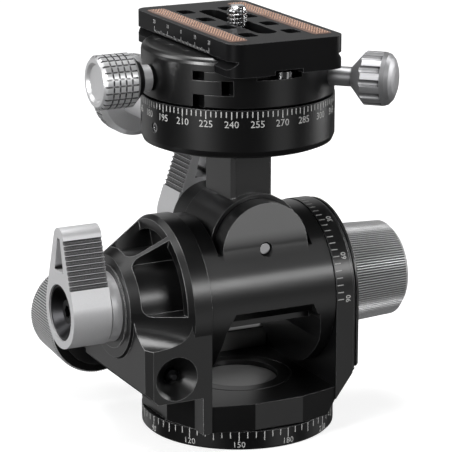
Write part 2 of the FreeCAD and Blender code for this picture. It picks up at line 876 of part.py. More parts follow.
def make_pitch_shaft():
    x_wheel = -gear_x
    return turned([
        (drum_half_width - pitch_shaft_seat, pitch_shaft_radius),
        (x_wheel + wheel_face / 2, pitch_shaft_radius),
        (x_wheel + wheel_face / 2, shaft_neck_radius),
        (hub_boss_end, shaft_neck_radius),
        (hub_boss_end, roll_axle_radius),
        (lever_start() + lever_width - lever_recess_depth - free_gap, roll_axle_radius),
    ], "-X", pitch_at())


def make_pitch_worm_wheel():
    return placed(worm_wheel(pitch_shaft_radius), pitch_at(gear_x), V(1, 0, 0), V(0, 0, -1))


def lever_outline():
    """Teardrop through the hub circle and the tip circle, drawn in X and Y, tip along +Y."""
    tip_centre = lever_reach - lever_tip_radius
    angle = math.asin((lever_hub_radius - lever_tip_radius) / tip_centre)
    c, s = math.cos(angle), math.sin(angle)
    hub_right = V(lever_hub_radius * c, lever_hub_radius * s, 0)
    tip_right = V(lever_tip_radius * c, tip_centre + lever_tip_radius * s, 0)
    hub_left = V(-hub_right.x, hub_right.y, 0)
    tip_left = V(-tip_right.x, tip_right.y, 0)
    edges = [
        Part.LineSegment(hub_right, tip_right).toShape(),
        Part.Arc(tip_right, V(0, lever_reach, 0), tip_left).toShape(),
        Part.LineSegment(tip_left, hub_left).toShape(),
        Part.Arc(hub_left, V(0, -lever_hub_radius, 0), hub_right).toShape(),
    ]
    return Part.Face(Part.Wire(edges))


def lever_shape():
    """Clamping lever about Z, from 0 to its width, handle along +Y, ribbed face on +X."""
    body = lever_outline().extrude(V(0, 0, lever_width))
    tip_centre = lever_reach - lever_tip_radius
    angle = math.asin((lever_hub_radius - lever_tip_radius) / tip_centre)
    window_end = tip_centre + lever_window_past
    window = extruded([V(-lever_window_half, lever_window_start, -1), V(lever_window_half, lever_window_start, -1),
                       V(lever_window_tip_half, window_end, -1), V(-lever_window_tip_half, window_end, -1)],
                      V(0, 0, lever_width + 2))
    cuts = [window]
    c, s = math.cos(angle), math.sin(angle)
    for index in range(lever_groove_count):
        along = lever_groove_start + index * lever_groove_pitch
        at = V(lever_hub_radius * c - along * s, lever_hub_radius * s + along * c, 0)
        cuts.append(rod(lever_groove_depth, -1, lever_width + 1, "Z", at))
    cuts.append(rod(lever_recess_radius, lever_width - lever_recess_depth, lever_width + 1))
    cuts.append(rod(roll_axle_radius + seat_gap, -1, lever_width))
    return without(body, cuts)


def lever_screw_shape():
    """Dished cap that fills the lever's hub, with its socket screw in the middle, about Z."""
    seat = lever_width - lever_recess_depth
    floor = seat + lever_screw_base
    top = lever_width - lever_screw_sink
    cap = rod(lever_recess_radius - seat_gap, seat, top)
    dish = turned([(floor, lever_dish_floor_radius), (top, lever_dish_mouth_radius),
                   (top + 1, lever_dish_mouth_radius)])
    head = rod(lever_screw_head_radius, floor, floor + lever_screw_height)
    corners = []
    for index in range(hex_sides):
        angle = 2 * math.pi * index / hex_sides
        corners.append(V(lever_socket_radius * math.cos(angle), lever_socket_radius * math.sin(angle),
                         seat + lever_socket_floor))
    socket = extruded(corners, V(0, 0, lever_width))
    return joined([cap.cut(dish), head]).cut(socket)


def lever_start():
    return hub_boss_end + pitch_sleeve_length + free_gap


def on_pitch_lever(shape):
    """Carry a lever piece to the left end of the pitch axis, handle up, ribs to the front."""
    at = pitch_at(-lever_start())
    return placed(shape, at, V(-1, 0, 0), V(0, -1, 0))


def roll_at(y=0.0):
    return V(0, y, roll_axis_height)


def on_roll_lever(shape):
    """Carry a lever piece to the back end of the roll axis, handle up, ribs to the left."""
    at = roll_at(back_ear_end + roll_sleeve_length + free_gap)
    return placed(shape, at, V(0, 1, 0), V(-1, 0, 0))


def lever_sleeve(radius, length, axis, at):
    return tube(radius, roll_axle_radius + seat_gap, 0, length, axis, at)


# ---- Drum and roll drive -----------------------------------------------------------------------

def front_ear():
    """Ear in front of the column, its face blended into the drum's round."""
    outline = joined([
        rod(ear_radius, -drum_radius, -hub_front, "Y", roll_at()),
        block(-ear_radius, ear_radius, -drum_radius, -hub_front, pitch_axis_height, roll_axis_height),
    ])
    centre_y = ear_face + ear_blend
    centre_z = math.sqrt((drum_radius + ear_blend) ** 2 - centre_y ** 2)
    ratio = drum_radius / (drum_radius + ear_blend)
    centre = V(-ear_radius, -centre_y, pitch_axis_height + centre_z)
    low = V(-ear_radius, -centre_y * ratio, pitch_axis_height + centre_z * ratio)
    high = centre + V(0, ear_blend, 0)
    middle = (low + high) * 0.5 - centre
    middle = centre + middle * (ear_blend / middle.Length)
    top = roll_axis_height + ear_radius
    corners = [high, V(-ear_radius, -ear_face, top), V(-ear_radius, -hub_front, top),
               V(-ear_radius, -hub_front, pitch_axis_height), V(-ear_radius, low.y, pitch_axis_height), low]
    edges = [Part.Arc(low, middle, high).toShape()]
    for a, b in zip(corners[:-1], corners[1:]):
        edges.append(Part.LineSegment(a, b).toShape())
    side = Part.Face(Part.Wire(edges))
    return outline.common(side.extrude(V(2 * ear_radius, 0, 0)))


def make_drum():
    body = rod(drum_radius, -drum_half_width, drum_half_width, "X", pitch_at())
    back_ear = joined([
        rod(back_ear_radius, 0, back_ear_end, "Y", roll_at()),
        block(-back_ear_radius, back_ear_radius, 0, back_ear_foot, pitch_axis_height, roll_axis_height),
    ])
    front = -hub_front - free_gap
    back = hub_back + free_gap
    above = block(-saddle_radius, saddle_radius, -through, through, roll_axis_height, 2 * through)
    front_keep = block(-through, through, -through, front, 0, 2 * through)
    back_keep = block(-through, through, back, through, 0, 2 * through)
    saddle = rod(saddle_radius, front, through, "Y", roll_at())
    front_groove = tube(saddle_radius, ear_radius, -through, front, "Y", roll_at()).common(
        block(-through, through, -through, front, roll_axis_height - groove_reach, 2 * through))
    shell = body.cut([saddle, front_groove, above])
    drum = joined([shell, front_ear().common(front_keep), back_ear.common(back_keep)])
    cuts = [
        rod(bush_radius, -roll_bore_start, drum_half_width + 1, "X", pitch_at()),
        rod(pitch_shaft_radius, -through, -drum_half_width + pitch_shaft_seat, "X", pitch_at()),
        rod(journal_radius, drum_half_width - journal_seat, through, "X", pitch_at()),
        rod(roll_pin_tip_radius + slide_gap, -through, -hub_front, "Y", roll_at()),
        rod(roll_axle_radius, -hub_front - roll_axle_step, through, "Y", roll_at()),
        block(notch_left, notch_right, -through, -drum_radius + notch_depth, 0, notch_top),
        block(notch_left, notch_right, -through, through, 0, drum_flat),
    ]
    return without(drum, cuts)


def make_drum_journal():
    """Sleeve that carries the drum's right end in the right tower."""
    x0 = drum_half_width - journal_seat
    neck = ring_outer_face + free_gap
    end = ring_outer_face + cheek_thickness + journal_rim_stand
    body = turned([(x0, journal_radius), (neck, journal_radius), (neck, journal_rim_radius),
                   (end - journal_rim_edge, journal_rim_radius), (end, journal_rim_radius - journal_rim_edge)],
                  "X", pitch_at())
    bore = rod(worm_journal_radius + running_gap, x0 - 1, end + 1, "X", pitch_at())
    relief = rod(journal_relief_radius, x0 + journal_relief_wall, ring_outer_face - journal_relief_end, "X",
                 pitch_at())
    return body.cut([bore, relief])


def make_roll_worm_bushes():
    start = -roll_bore_start
    end = drum_half_width - journal_seat
    bore = worm_journal_radius + running_gap
    left = tube(bush_radius, bore, start, start + bush_length, "X", pitch_at())
    right = tube(bush_radius, bore, end - bush_length, end, "X", pitch_at())
    return Part.Compound([left, right])


def make_roll_worm():
    stations = [(-roll_bore_start + worm_end_gap, worm_journal_radius),
                (roll_knob_start + knob_bore_depth, worm_journal_radius)]
    return worm_shaft(stations, 0.0, "X", pitch_at(), V(0, 0, 1))


def make_roll_axle():
    """Steel pin along the roll axis, fixed in the drum's two ears."""
    tip = -ear_face + roll_axle_tip_edge
    step = -hub_front - roll_axle_step
    end = back_ear_end + roll_sleeve_length + lever_width - lever_recess_depth
    return turned([(tip, roll_pin_tip_radius - roll_axle_tip_edge), (tip + roll_axle_tip_edge, roll_pin_tip_radius),
                   (step, roll_pin_tip_radius), (step, roll_axle_radius), (end, roll_axle_radius)], "Y", roll_at())


def make_roll_scale_collar():
    """Collar with the roll scale, on the drum's back ear."""
    start = hub_back + free_gap
    body = turned([(start, roll_scale_radius - roll_scale_slope), (start + roll_scale_cone, roll_scale_radius),
                   (back_ear_end, roll_scale_radius)], "Y", roll_at())
    keep_drum = rod(back_ear_radius, 0, through, "Y", roll_at()).fuse(
        block(-back_ear_radius, back_ear_radius, 0, through, 0, roll_axis_height))
    return body.cut(keep_drum)


def make_roll_worm_wheel():
    return placed(worm_wheel(wheel_bore_radius), roll_at(), V(0, 1, 0), V(0, 0, -1))


# ---- Column and pan disc -----------------------------------------------------------------------

def make_column():
    """Upright bar with the round hub of the roll axis at its foot."""
    half = column_half_width
    edge = column_edge
    outline = [
        V(-half + edge, -column_front, roll_axis_height), V(half - edge, -column_front, roll_axis_height),
        V(half, -column_front + edge, roll_axis_height), V(half, column_back, roll_axis_height),
        V(-half, column_back, roll_axis_height), V(-half, -column_front + edge, roll_axis_height),
    ]
    bar = extruded(outline, V(0, 0, disc_bottom - roll_axis_height))
    hub_radius = saddle_radius - free_gap
    hub = rod(hub_radius, -hub_front, hub_back, "Y", roll_at())
    lower = block(-through, through, -hub_slot_half, hub_slot_half, 0, roll_axis_height + hub_slot_rise)
    slot = tube(through, wheel_bore_radius, -hub_slot_half, hub_slot_half, "Y", roll_at()).common(lower)
    wheel_slot = tube(wheel_tip_radius + wheel_seat_gap, wheel_bore_radius, -wheel_face / 2, wheel_face / 2, "Y",
                      roll_at())
    bore = rod(roll_axle_radius + running_gap, -through, through, "Y", roll_at())
    return without(bar.fuse(hub), [slot, wheel_slot, bore])


def pan_at(z=0.0):
    return V(0, 0, z)


def pan_worm_at():
    return V(pan_worm_x, 0, pan_worm_height)


def pan_wheel_bottom():
    return pan_worm_height - wheel_face / 2 - 2 * free_gap


def make_pan_disc():
    edge = disc_under_edge
    body = turned([(disc_bottom, disc_radius - disc_edge), (disc_bottom + edge, disc_radius - edge),
                   (disc_bottom + disc_edge, disc_radius), (disc_top, disc_radius)])
    wheel_room = rod(wheel_room_radius, pan_wheel_bottom(), disc_top + 1)
    cover_seat = rod(pan_cover_radius + seat_gap, disc_top - pan_cover_thickness, disc_top + 1)
    worm_bore = rod(bush_radius, -pan_bore_start, through, "Y", pan_worm_at())
    spot_face = rod(pan_sleeve_radius + free_gap, pan_spot_face, through, "Y", pan_worm_at())
    cuts = [wheel_room, cover_seat, worm_bore, spot_face]
    for angle in set_screw_angles:
        cuts.append(set_screw_shape(angle, set_screw_radius + thread_gap, 0.0))
    return without(body, cuts)


def set_screw_shape(angle, radius, sink):
    at = V(0, 0, disc_bottom + set_screw_rise)
    screw = rod(radius, disc_radius - set_screw_length, disc_radius - sink, "X", at)
    screw.rotate(V(0, 0, 0), V(0, 0, 1), angle)
    return screw


def make_set_screws():
    screws = []
    for angle in set_screw_angles:
        socket = rod(set_screw_radius / 2, disc_radius - set_screw_length * 2 / 3, disc_radius + 1, "X",
                     V(0, 0, disc_bottom + set_screw_rise))
        socket.rotate(V(0, 0, 0), V(0, 0, 1), angle)
        screws.append(set_screw_shape(angle, set_screw_radius, set_screw_sink).cut(socket))
    return Part.Compound(screws)


def make_pan_cover():
    """Ring that closes the pan gearbox and guides the pan hub."""
    return tube(pan_cover_radius, pan_neck_radius + running_gap, disc_top - pan_cover_thickness, disc_top)


def make_pan_hub():
    """Hub that carries the pan worm wheel and the clamp, with the lock's groove round its stub."""
    z0 = pan_wheel_bottom() + free_gap
    step = disc_top - pan_cover_thickness - clamp_gap
    body = turned([(z0, wheel_bore_radius), (step, wheel_bore_radius), (step, pan_neck_radius),
                   (clamp_bottom, pan_neck_radius), (clamp_bottom, hub_stub_radius), (hub_stub_top, hub_stub_radius)])
    inner = hub_stub_radius - lock_groove_depth
    flat = lock_groove_flat / 2
    half = lock_groove_depth + flat
    groove = turned([(lock_height - half, hub_stub_radius), (lock_height - flat, inner),
                     (lock_height + flat, inner), (lock_height + half, hub_stub_radius)])
    ring = rod(hub_stub_radius + 1, lock_height - half, lock_height + half).cut(groove)
    return without(body, [ring])


def make_pan_worm_wheel():
    return placed(worm_wheel(wheel_bore_radius), pan_at(pan_worm_height), V(0, 0, 1), V(-1, 0, 0))


def make_pan_worm_bushes():
    at = pan_worm_at()
    bore = worm_journal_radius + running_gap
    front = tube(bush_radius, bore, -pan_bore_start, -pan_bore_start + bush_length, "Y", at)
    back = tube(bush_radius, bore, pan_spot_face - bush_length, pan_spot_face, "Y", at)
    return Part.Compound([front, back])


def make_pan_worm():
    stations = [(-pan_bore_start + worm_end_gap, worm_journal_radius),
                (pan_knob_start + pan_knob_bore_depth, worm_journal_radius)]
    return worm_shaft(stations, 0.0, "Y", pan_worm_at(), V(1, 0, 0))


# ---- Knobs -------------------------------------------------------------------------------------

def make_ridged_knob(axis, at):
    """Large knob with fine straight ridges, hollow on its inner side."""
    edge = knob_edge
    body = turned([(0, knob_radius - knob_back_edge), (knob_back_edge, knob_radius),
                   (knob_length - edge, knob_tip_radius), (knob_length, knob_tip_radius - edge)])
    outer = knob_radius + 1
    cutter = extruded([V(outer, -knob_groove_half, 0), V(outer, knob_groove_half, 0),
                       V(knob_radius - knob_ridge_depth, 0, 0)], V(0, 0, knob_length + 2))
    cutter.rotate(V(knob_radius, 0, 0), V(0, 1, 0),
                  -math.degrees(math.atan((knob_radius - knob_tip_radius) / knob_length)))
    cutter.translate(V(0, 0, -1))
    grooves = around(cutter, knob_ridge_count, V(0, 0, 0), V(0, 0, 1))
    plain = rod(knob_tip_radius - knob_plain_inset, knob_length - 2 * edge, knob_length + 1)
    recess = rod(knob_collar_radius + knob_recess_gap, -1, knob_collar_sink)
    bore = rod(worm_journal_radius, -1, knob_bore_depth)
    end_dish = rod(knob_dish_radius, knob_length - knob_dish_depth, knob_length + 1)
    knob = body.cut(Part.Compound(grooves)).fuse(plain.common(body)).removeSplitter()
    return placed(without(knob, [recess, bore, end_dish]), at, *AXES[axis])


def make_knob_collar(axis, at, length):
    collar = tube(knob_collar_radius, worm_journal_radius, knob_collar_sink - length, knob_collar_sink)
    return placed(collar, at, *AXES[axis])


def make_pan_knob():
    """Flat knob with square studs on the pan worm."""
    end = pan_knob_length - pan_knob_edge
    body = turned([(0, pan_knob_radius - pan_knob_cone), (pan_knob_cone, pan_knob_radius), (end, pan_knob_radius),
                   (pan_knob_length, pan_knob_radius - pan_knob_edge)])
    cuts = knurl_tools(pan_knob_radius, pan_knob_cone, end, pan_stud_rows, pan_stud_columns)
    cuts.append(rod(worm_journal_radius, -1, pan_knob_bore_depth))
    return placed(without(body, cuts), pan_worm_at() + V(0, pan_knob_start, 0), *AXES["Y"])


def knurl_tools(radius, start, end, rows, columns):
    """Cutters for square studs: flat-bottomed grooves round and along a cylinder about Z."""
    half = stud_gap / 2
    floor = radius - stud_height
    pitch = (end - start) / rows
    tools = []
    for index in range(1, rows):
        middle = start + index * pitch
        tools.append(tube(radius + 1, floor, middle - half, middle + half))
    bar = block(floor, radius + 1, -half, half, start, end + 2)
    tools += around(bar, columns, V(0, 0, 0), V(0, 0, 1))
    return tools


def make_pan_sleeve():
    start = pan_spot_face + free_gap
    return tube(pan_sleeve_radius, worm_journal_radius, start, pan_knob_start, "Y", pan_worm_at())


# ---- Clamp -------------------------------------------------------------------------------------

def lock_direction():
    return V(math.cos(math.radians(lock_angle)), math.sin(math.radians(lock_angle)), 0)


def on_lock_axis(shape):
    """Carry a piece made about Z to the pan lock's axis, its Z pointing outwards."""
    side = lock_direction()
    return placed(shape, V(0, 0, lock_height), side, V(0, 0, 1))


def clamp_blank():
    edge = clamp_edge
    under = clamp_under_edge
    stations = [(clamp_bottom, clamp_radius - under), (clamp_bottom + under, clamp_radius)]
    for index in range(rounding_steps + 1):
        angle = math.radians(90.0 * index / rounding_steps)
        stations.append((clamp_top - edge + edge * math.sin(angle), clamp_radius - edge + edge * math.cos(angle)))
    return turned(stations)


def channel_tool():
    """Space of the plate's dovetail between the jaws, with a sliding clearance."""
    half = plate_half_width + slide_gap
    inner = half - vee_depth
    z0 = plate_bottom
    z1 = z0 + plate_flange
    z2 = z1 + vee_depth
    z3 = z2 + clamp_height
    section = [(-half, z0), (half, z0), (half, z1), (inner, z2), (inner, z3), (-inner, z3), (-inner, z2), (-half, z1)]
    far = 2 * clamp_radius
    return extruded([V(x, -far, z) for x, z in section], V(0, 2 * far, 0))


def jaw_space(inset):
    """Outer segment with a tongue towards the body at mid height; inset draws its inner walls back."""
    shoulder = jaw_shoulder + inset
    tongue = jaw_tongue + inset
    far = 2 * clamp_radius
    pieces = [
        block(-far, -shoulder, -far, far, clamp_bottom - 1, clamp_top + 1),
        block(-far, -tongue, -far, far, tongue_low, tongue_high),
        block(-far, 0, -far, far, plate_bottom + slide_gap, clamp_top + 1),
    ]
    return joined(pieces)


def make_clamp_body():
    far = 2 * clamp_radius
    open_side = joined([
        block(-far, -jaw_shoulder + jaw_shoulder_gap, -far, far, clamp_bottom - 1, clamp_top + 1),
        block(-far, -jaw_tongue + jaw_tongue_gap, -far, far, tongue_low - slide_gap, tongue_high + slide_gap),
        block(-far, 0, -far, far, plate_bottom, clamp_top + 1),
    ])
    screw_at = V(0, 0, clamp_screw_height)
    cuts = [
        open_side,
        channel_tool(),
        rod(hub_stub_radius + running_gap, clamp_bottom - 1, hub_stub_top + hub_stub_gap),
        rod(clamp_screw_radius, -jaw_tongue, -hub_stub_radius + 1, "X", screw_at),
        rod(clamp_screw_radius + free_gap, -clamp_radius, -jaw_tongue + jaw_tongue_gap, "X", screw_at),
        on_lock_axis(rod(lock_stem_radius + running_gap, hub_stub_radius - 1, through)),
        block(notch_x[0], notch_x[1], -far, -notch_reach, plate_bottom - notch_floor_drop, clamp_top),
        rod(safety_pin_radius + running_gap, safety_pin_bottom - safety_pin_travel - free_gap, plate_bottom, "Z",
            V(safety_pin_x, safety_pin_y, 0)),
    ]
    for y in spring_places:
        cuts.append(rod(spring_radius + free_gap, -jaw_tongue, -jaw_tongue + jaw_tongue_gap + spring_pocket, "X",
                        V(0, y, clamp_screw_height)))
    return without(clamp_blank(), cuts)


def make_jaw():
    solid = clamp_blank().common(jaw_space(0.0)).cut(channel_tool())
    bore = rod(clamp_screw_radius + running_gap, -through, 0, "X", V(0, 0, clamp_screw_height))
    return without(solid, [bore])


def make_jaw_springs():
    springs = []
    length = jaw_tongue_gap + spring_pocket
    for y in spring_places:
        at = V(0, y, clamp_screw_height)
        springs.append(tube(spring_radius, spring_radius - spring_wall, -jaw_tongue + thread_gap,
                            -jaw_tongue + length, "X", at))
    return Part.Compound(springs)


def make_clamp_knob():
    """Small knob with square studs on the clamp screw, its end dished."""
    length = clamp_knob_length
    radius = clamp_knob_radius
    edge = clamp_knob_edge
    body = turned([(0, radius - edge), (edge, radius), (length - edge, radius), (length, radius - edge)])
    cuts = knurl_tools(radius, edge, length - edge, clamp_stud_rows, clamp_stud_columns)
    rim = radius - edge - clamp_dish_rim
    cuts.append(turned([(length - clamp_dish_depth, rim - clamp_dish_depth), (length, rim), (length + 1, rim)]))
    cuts.append(rod(clamp_screw_radius, -1, length - clamp_knob_wall))
    return placed(without(body, cuts), V(-clamp_knob_start, 0, clamp_screw_height), *AXES["-X"])


def make_clamp_screw():
    end = clamp_knob_start + clamp_knob_length - clamp_knob_wall - worm_end_gap
    face = clamp_radius + clamp_stem_gap
    collar = clamp_knob_start - clamp_collar_length
    thread = clamp_screw_radius - thread_gap
    return turned([(hub_stub_radius + clamp_stem_gap, thread), (face, thread), (face, clamp_stem_radius),
                   (collar, clamp_stem_radius), (collar, clamp_screw_radius), (end, clamp_screw_radius)], "-X",
                  V(0, 0, clamp_screw_height))


def make_clamp_knob_collar():
    at = V(0, 0, clamp_screw_height)
    start = clamp_knob_start - clamp_collar_length
    collar = turned([(start, clamp_collar_radius), (clamp_knob_start, clamp_knob_radius - clamp_knob_edge)], "-X", at)
    return collar.cut(rod(clamp_screw_radius, 0, through, "-X", at))


def make_lock_knob():
    """Pan lock knob with coarse flutes, a coned back and a domed end, on its stem."""
    length = lock_knob_length
    radius = lock_knob_radius
    stations = [(0, lock_neck_radius), (lock_cone_length, radius)]
    for index in range(rounding_steps + 1):
        angle = math.radians(90.0 * index / rounding_steps)
        along = length - lock_dome_length * (1 - math.sin(angle))
        stations.append((along, radius - lock_dome_drop * (1 - math.cos(angle))))
    flute = rod(lock_flute_radius, -1, length - lock_dome_length, "Z", V(radius + lock_flute_offset, 0, 0))
    knob = without(turned(stations), around(flute, lock_flute_count, V(0, 0, 0), V(0, 0, 1)))
    knob.translate(V(0, 0, lock_knob_start))
    stem = rod(lock_stem_radius, hub_stub_radius + lock_pad_stand + slide_gap, lock_knob_start + 1)
    return on_lock_axis(joined([knob, stem]))


def make_lock_pad():
    """Brass tip that the lock screw presses into the hub's groove."""
    reach = hub_stub_radius - lock_groove_depth + slide_gap
    tip = lock_groove_flat / 2 - slide_gap
    pad_radius = tip + lock_groove_depth
    return on_lock_axis(turned([(reach, tip), (reach + lock_groove_depth, pad_radius),
                                (hub_stub_radius + lock_pad_stand, pad_radius)]))


def make_safety_pin():
    shoulder = safety_pin_bottom + safety_pin_tail_length
    edge = safety_pin_edge
    return turned([(safety_pin_bottom, safety_pin_tail_radius), (shoulder, safety_pin_tail_radius),
                   (shoulder, safety_pin_radius), (safety_pin_top - edge, safety_pin_radius),
                   (safety_pin_top, safety_pin_radius - edge)], "Z", V(safety_pin_x, safety_pin_y, 0))


# ---- Quick-release plate -----------------------------------------------------------------------

def rounded_block(half_x, half_y, radius, z0, z1, at_x=0.0, at_y=0.0):
    box = block(at_x - half_x, at_x + half_x, at_y - half_y, at_y + half_y, z0, z1)
    upright = [edge for edge in box.Edges if abs(edge.Vertexes[0].Z - edge.Vertexes[-1].Z) > 1e-6]
    return box.makeFillet(radius, upright)


def make_plate():
    z0 = plate_bottom
    body = rounded_block(plate_half_width, plate_half_length, plate_corner, z0, plate_top, 0, plate_centre_y)
    inner = plate_half_width - vee_depth
    z1 = z0 + plate_flange
    z2 = z1 + vee_depth
    z3 = plate_top - plate_slab
    cuts = [block(pin_groove_x[0], pin_groove_x[1], -through, pin_groove_end, z0 - 1, z0 + pin_groove_depth)]
    for side in (-1, 1):
        far = 2 * plate_half_length
        rise = plate_slab
        section = [(plate_half_width + rise, z1 - rise), (inner, z2), (inner, z3), (plate_half_width + rise, z3)]
        cuts.append(extruded([V(side * x, -far, z) for x, z in section], V(0, 2 * far, 0)))
        cuts.append(rounded_block(grip_width / 2 + seat_gap, grip_half_length + seat_gap, grip_width / 2,
                                  plate_top - grip_sink, plate_top + 1, side * grip_offset, plate_centre_y))
        for index in range(window_count):
            y = plate_centre_y + (index - (window_count - 1) / 2) * window_pitch
            cuts.append(rounded_block(window_width / 2, window_length / 2, window_corner, z0 - 1, plate_top + 1,
                                      side * window_offset, y))
    cuts.append(rounded_block(slot_half_width, slot_half_length, slot_half_width - seat_gap, z0 - 1, plate_top + 1,
                              0, plate_centre_y))
    cuts.append(rounded_block(screw_head_radius + free_gap, slot_half_length - head_slot_inset, head_slot_corner,
                              z0 - 1, z0 + screw_head_height + 2 * free_gap, 0, plate_centre_y))
    return without(body, cuts)


def make_grip(side):
    return rounded_block(grip_width / 2, grip_half_length, grip_width / 2 - seat_gap, plate_top - grip_sink,
                         plate_top + grip_stand, side * grip_offset, plate_centre_y)


def make_camera_screw():
    """Captive screw with a slotted head under the plate and a thinner neck in the plate's slot."""
    bottom = plate_bottom + free_gap
    shoulder = bottom + screw_head_height
    neck = plate_top + camera_screw_neck_stand
    top = plate_top + camera_screw_stand
    screw = turned([(bottom, screw_head_radius), (shoulder, screw_head_radius), (shoulder, camera_screw_neck_radius),
                    (neck, camera_screw_neck_radius), (neck, camera_screw_radius),
                    (top - camera_screw_edge, camera_screw_radius), (top, camera_screw_radius - camera_screw_edge)],
                   "Z", V(0, plate_centre_y, 0))
    slot = block(-driver_slot_half, driver_slot_half, -through, through, bottom - 1, bottom + driver_slot_depth)
    return screw.cut(slot)


# ---- Output ------------------------------------------------------------------------------------

def build():
    nodes = {
        "base_ring": make_base_ring(),
        "base_spindle": make_base_spindle(),
        "base_screws": make_base_screws(),
        "spindle_nut": make_spindle_nut(),
        "bearing_washer": make_bearing_washer(),
        "yoke_floor": make_yoke_floor(),
        "centre_cap": make_centre_cap(),
        "base_lock_pad": make_base_lock_pad(),
        "base_lock_knob": make_base_lock_knob(),
        "left_tower": make_left_tower(),
        "bearing_cover": make_bearing_cover(),
        "bearing_cover_screws": make_bearing_cover_screws(),
        "right_tower": make_right_tower(),
        "right_cheek": make_right_cheek(),
        "cheek_screws": make_cheek_screws(),
        "pitch_worm_bushes": make_pitch_worm_bushes(),
        "pitch_worm": make_pitch_worm(),
        "pitch_worm_wheel": make_pitch_worm_wheel(),
        "pitch_shaft": make_pitch_shaft(),
        "pitch_knob": make_ridged_knob("Y", V(gear_x, pitch_knob_start, pitch_worm_height)),
        "pitch_knob_collar": make_knob_collar("Y", V(gear_x, pitch_knob_start, pitch_worm_height),
                                              pitch_collar_length),
        "pitch_lock_lever": on_pitch_lever(lever_shape()),
        "pitch_lever_screw": on_pitch_lever(lever_screw_shape()),
        "pitch_lever_sleeve": lever_sleeve(pitch_sleeve_radius, pitch_sleeve_length, "-X", pitch_at(-hub_boss_end)),
        "drum": make_drum(),
        "drum_journal": make_drum_journal(),
        "roll_worm_bushes": make_roll_worm_bushes(),
        "roll_worm": make_roll_worm(),
        "roll_worm_wheel": make_roll_worm_wheel(),
        "roll_axle": make_roll_axle(),
        "roll_scale_collar": make_roll_scale_collar(),
        "roll_knob": make_ridged_knob("X", pitch_at(roll_knob_start)),
        "roll_knob_collar": make_knob_collar("X", pitch_at(roll_knob_start), roll_collar_length),
        "roll_lock_lever": on_roll_lever(lever_shape()),
        "roll_lever_screw": on_roll_lever(lever_screw_shape()),
        "roll_lever_sleeve": lever_sleeve(roll_sleeve_radius, roll_sleeve_length, "Y", roll_at(back_ear_end)),
        "column": make_column(),
        "pan_disc": make_pan_disc(),
        "pan_disc_cover": make_pan_cover(),
        "pan_set_screws": make_set_screws(),
        "pan_worm_bushes": make_pan_worm_bushes(),
        "pan_worm": make_pan_worm(),
        "pan_worm_sleeve": make_pan_sleeve(),
        "pan_knob": make_pan_knob(),
        "pan_worm_wheel": make_pan_worm_wheel(),
        "pan_hub": make_pan_hub(),
        "clamp_body": make_clamp_body(),
        "clamp_jaw": make_jaw(),
        "jaw_springs": make_jaw_springs(),
        "clamp_screw": make_clamp_screw(),
        "clamp_knob": make_clamp_knob(),
        "clamp_knob_collar": make_clamp_knob_collar(),
        "pan_lock_knob": make_lock_knob(),
        "pan_lock_pad": make_lock_pad(),
        "safety_pin": make_safety_pin(),
        "camera_plate": make_plate(),
        "left_grip_strip": make_grip(-1),
        "right_grip_strip": make_grip(1),
        "camera_screw": make_camera_screw(),
    }
    return nodes


def write(nodes):
    os.makedirs("parts", exist_ok=True)
    for name, shape in nodes.items():
        shape.exportStep(os.path.join("parts", name + ".step"))


write(build())
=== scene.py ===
import math
import bmesh
import bpy
from mathutils import Matrix, Vector
from mathutils.bvhtree import BVHTree
from mathutils.interpolate import poly_3d_calc


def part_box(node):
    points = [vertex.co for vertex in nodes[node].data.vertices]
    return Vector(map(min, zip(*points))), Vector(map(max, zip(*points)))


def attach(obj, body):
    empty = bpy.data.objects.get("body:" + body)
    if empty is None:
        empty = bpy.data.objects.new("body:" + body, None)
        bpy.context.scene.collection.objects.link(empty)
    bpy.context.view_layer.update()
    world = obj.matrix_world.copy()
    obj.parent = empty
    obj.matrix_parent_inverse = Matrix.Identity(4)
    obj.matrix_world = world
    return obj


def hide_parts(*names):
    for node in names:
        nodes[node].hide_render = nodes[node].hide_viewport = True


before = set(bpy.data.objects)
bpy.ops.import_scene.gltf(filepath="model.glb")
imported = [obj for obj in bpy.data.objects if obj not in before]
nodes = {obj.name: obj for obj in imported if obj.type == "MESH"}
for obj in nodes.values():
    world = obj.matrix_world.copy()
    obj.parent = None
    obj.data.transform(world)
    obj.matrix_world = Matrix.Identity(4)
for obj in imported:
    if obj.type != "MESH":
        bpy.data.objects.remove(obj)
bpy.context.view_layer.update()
mm = 0.001

# points on the two tilting axes, the plate's box, and how near two points are before they are merged
pitchAxis = Vector((0, 0, 43.2 * mm))
rollAxis = Vector((0, 0, 60.7 * mm))
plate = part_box("camera_plate")
fineMerge = 0.001 * mm
merge = 0.002 * mm


# one wrapped socket, so that shader sums read as sums
class Wire:
    def __init__(self, paint, socket):
        self.paint = paint
        self.socket = socket

    def maths(self, operation, other, swap=False):
        first, second = (other, self) if swap else (self, other)
        return self.paint.node("ShaderNodeMath", {"operation": operation}, {0: first, 1: second})

    def __add__(self, other):
        return self.maths("ADD", other)

    def __sub__(self, other):
        return self.maths("SUBTRACT", other)

    def __mul__(self, other):
        return self.maths("MULTIPLY", other)

    def __rsub__(self, other):
        return self.maths("SUBTRACT", other, swap=True)

    __radd__ = __add__
    __rmul__ = __mul__


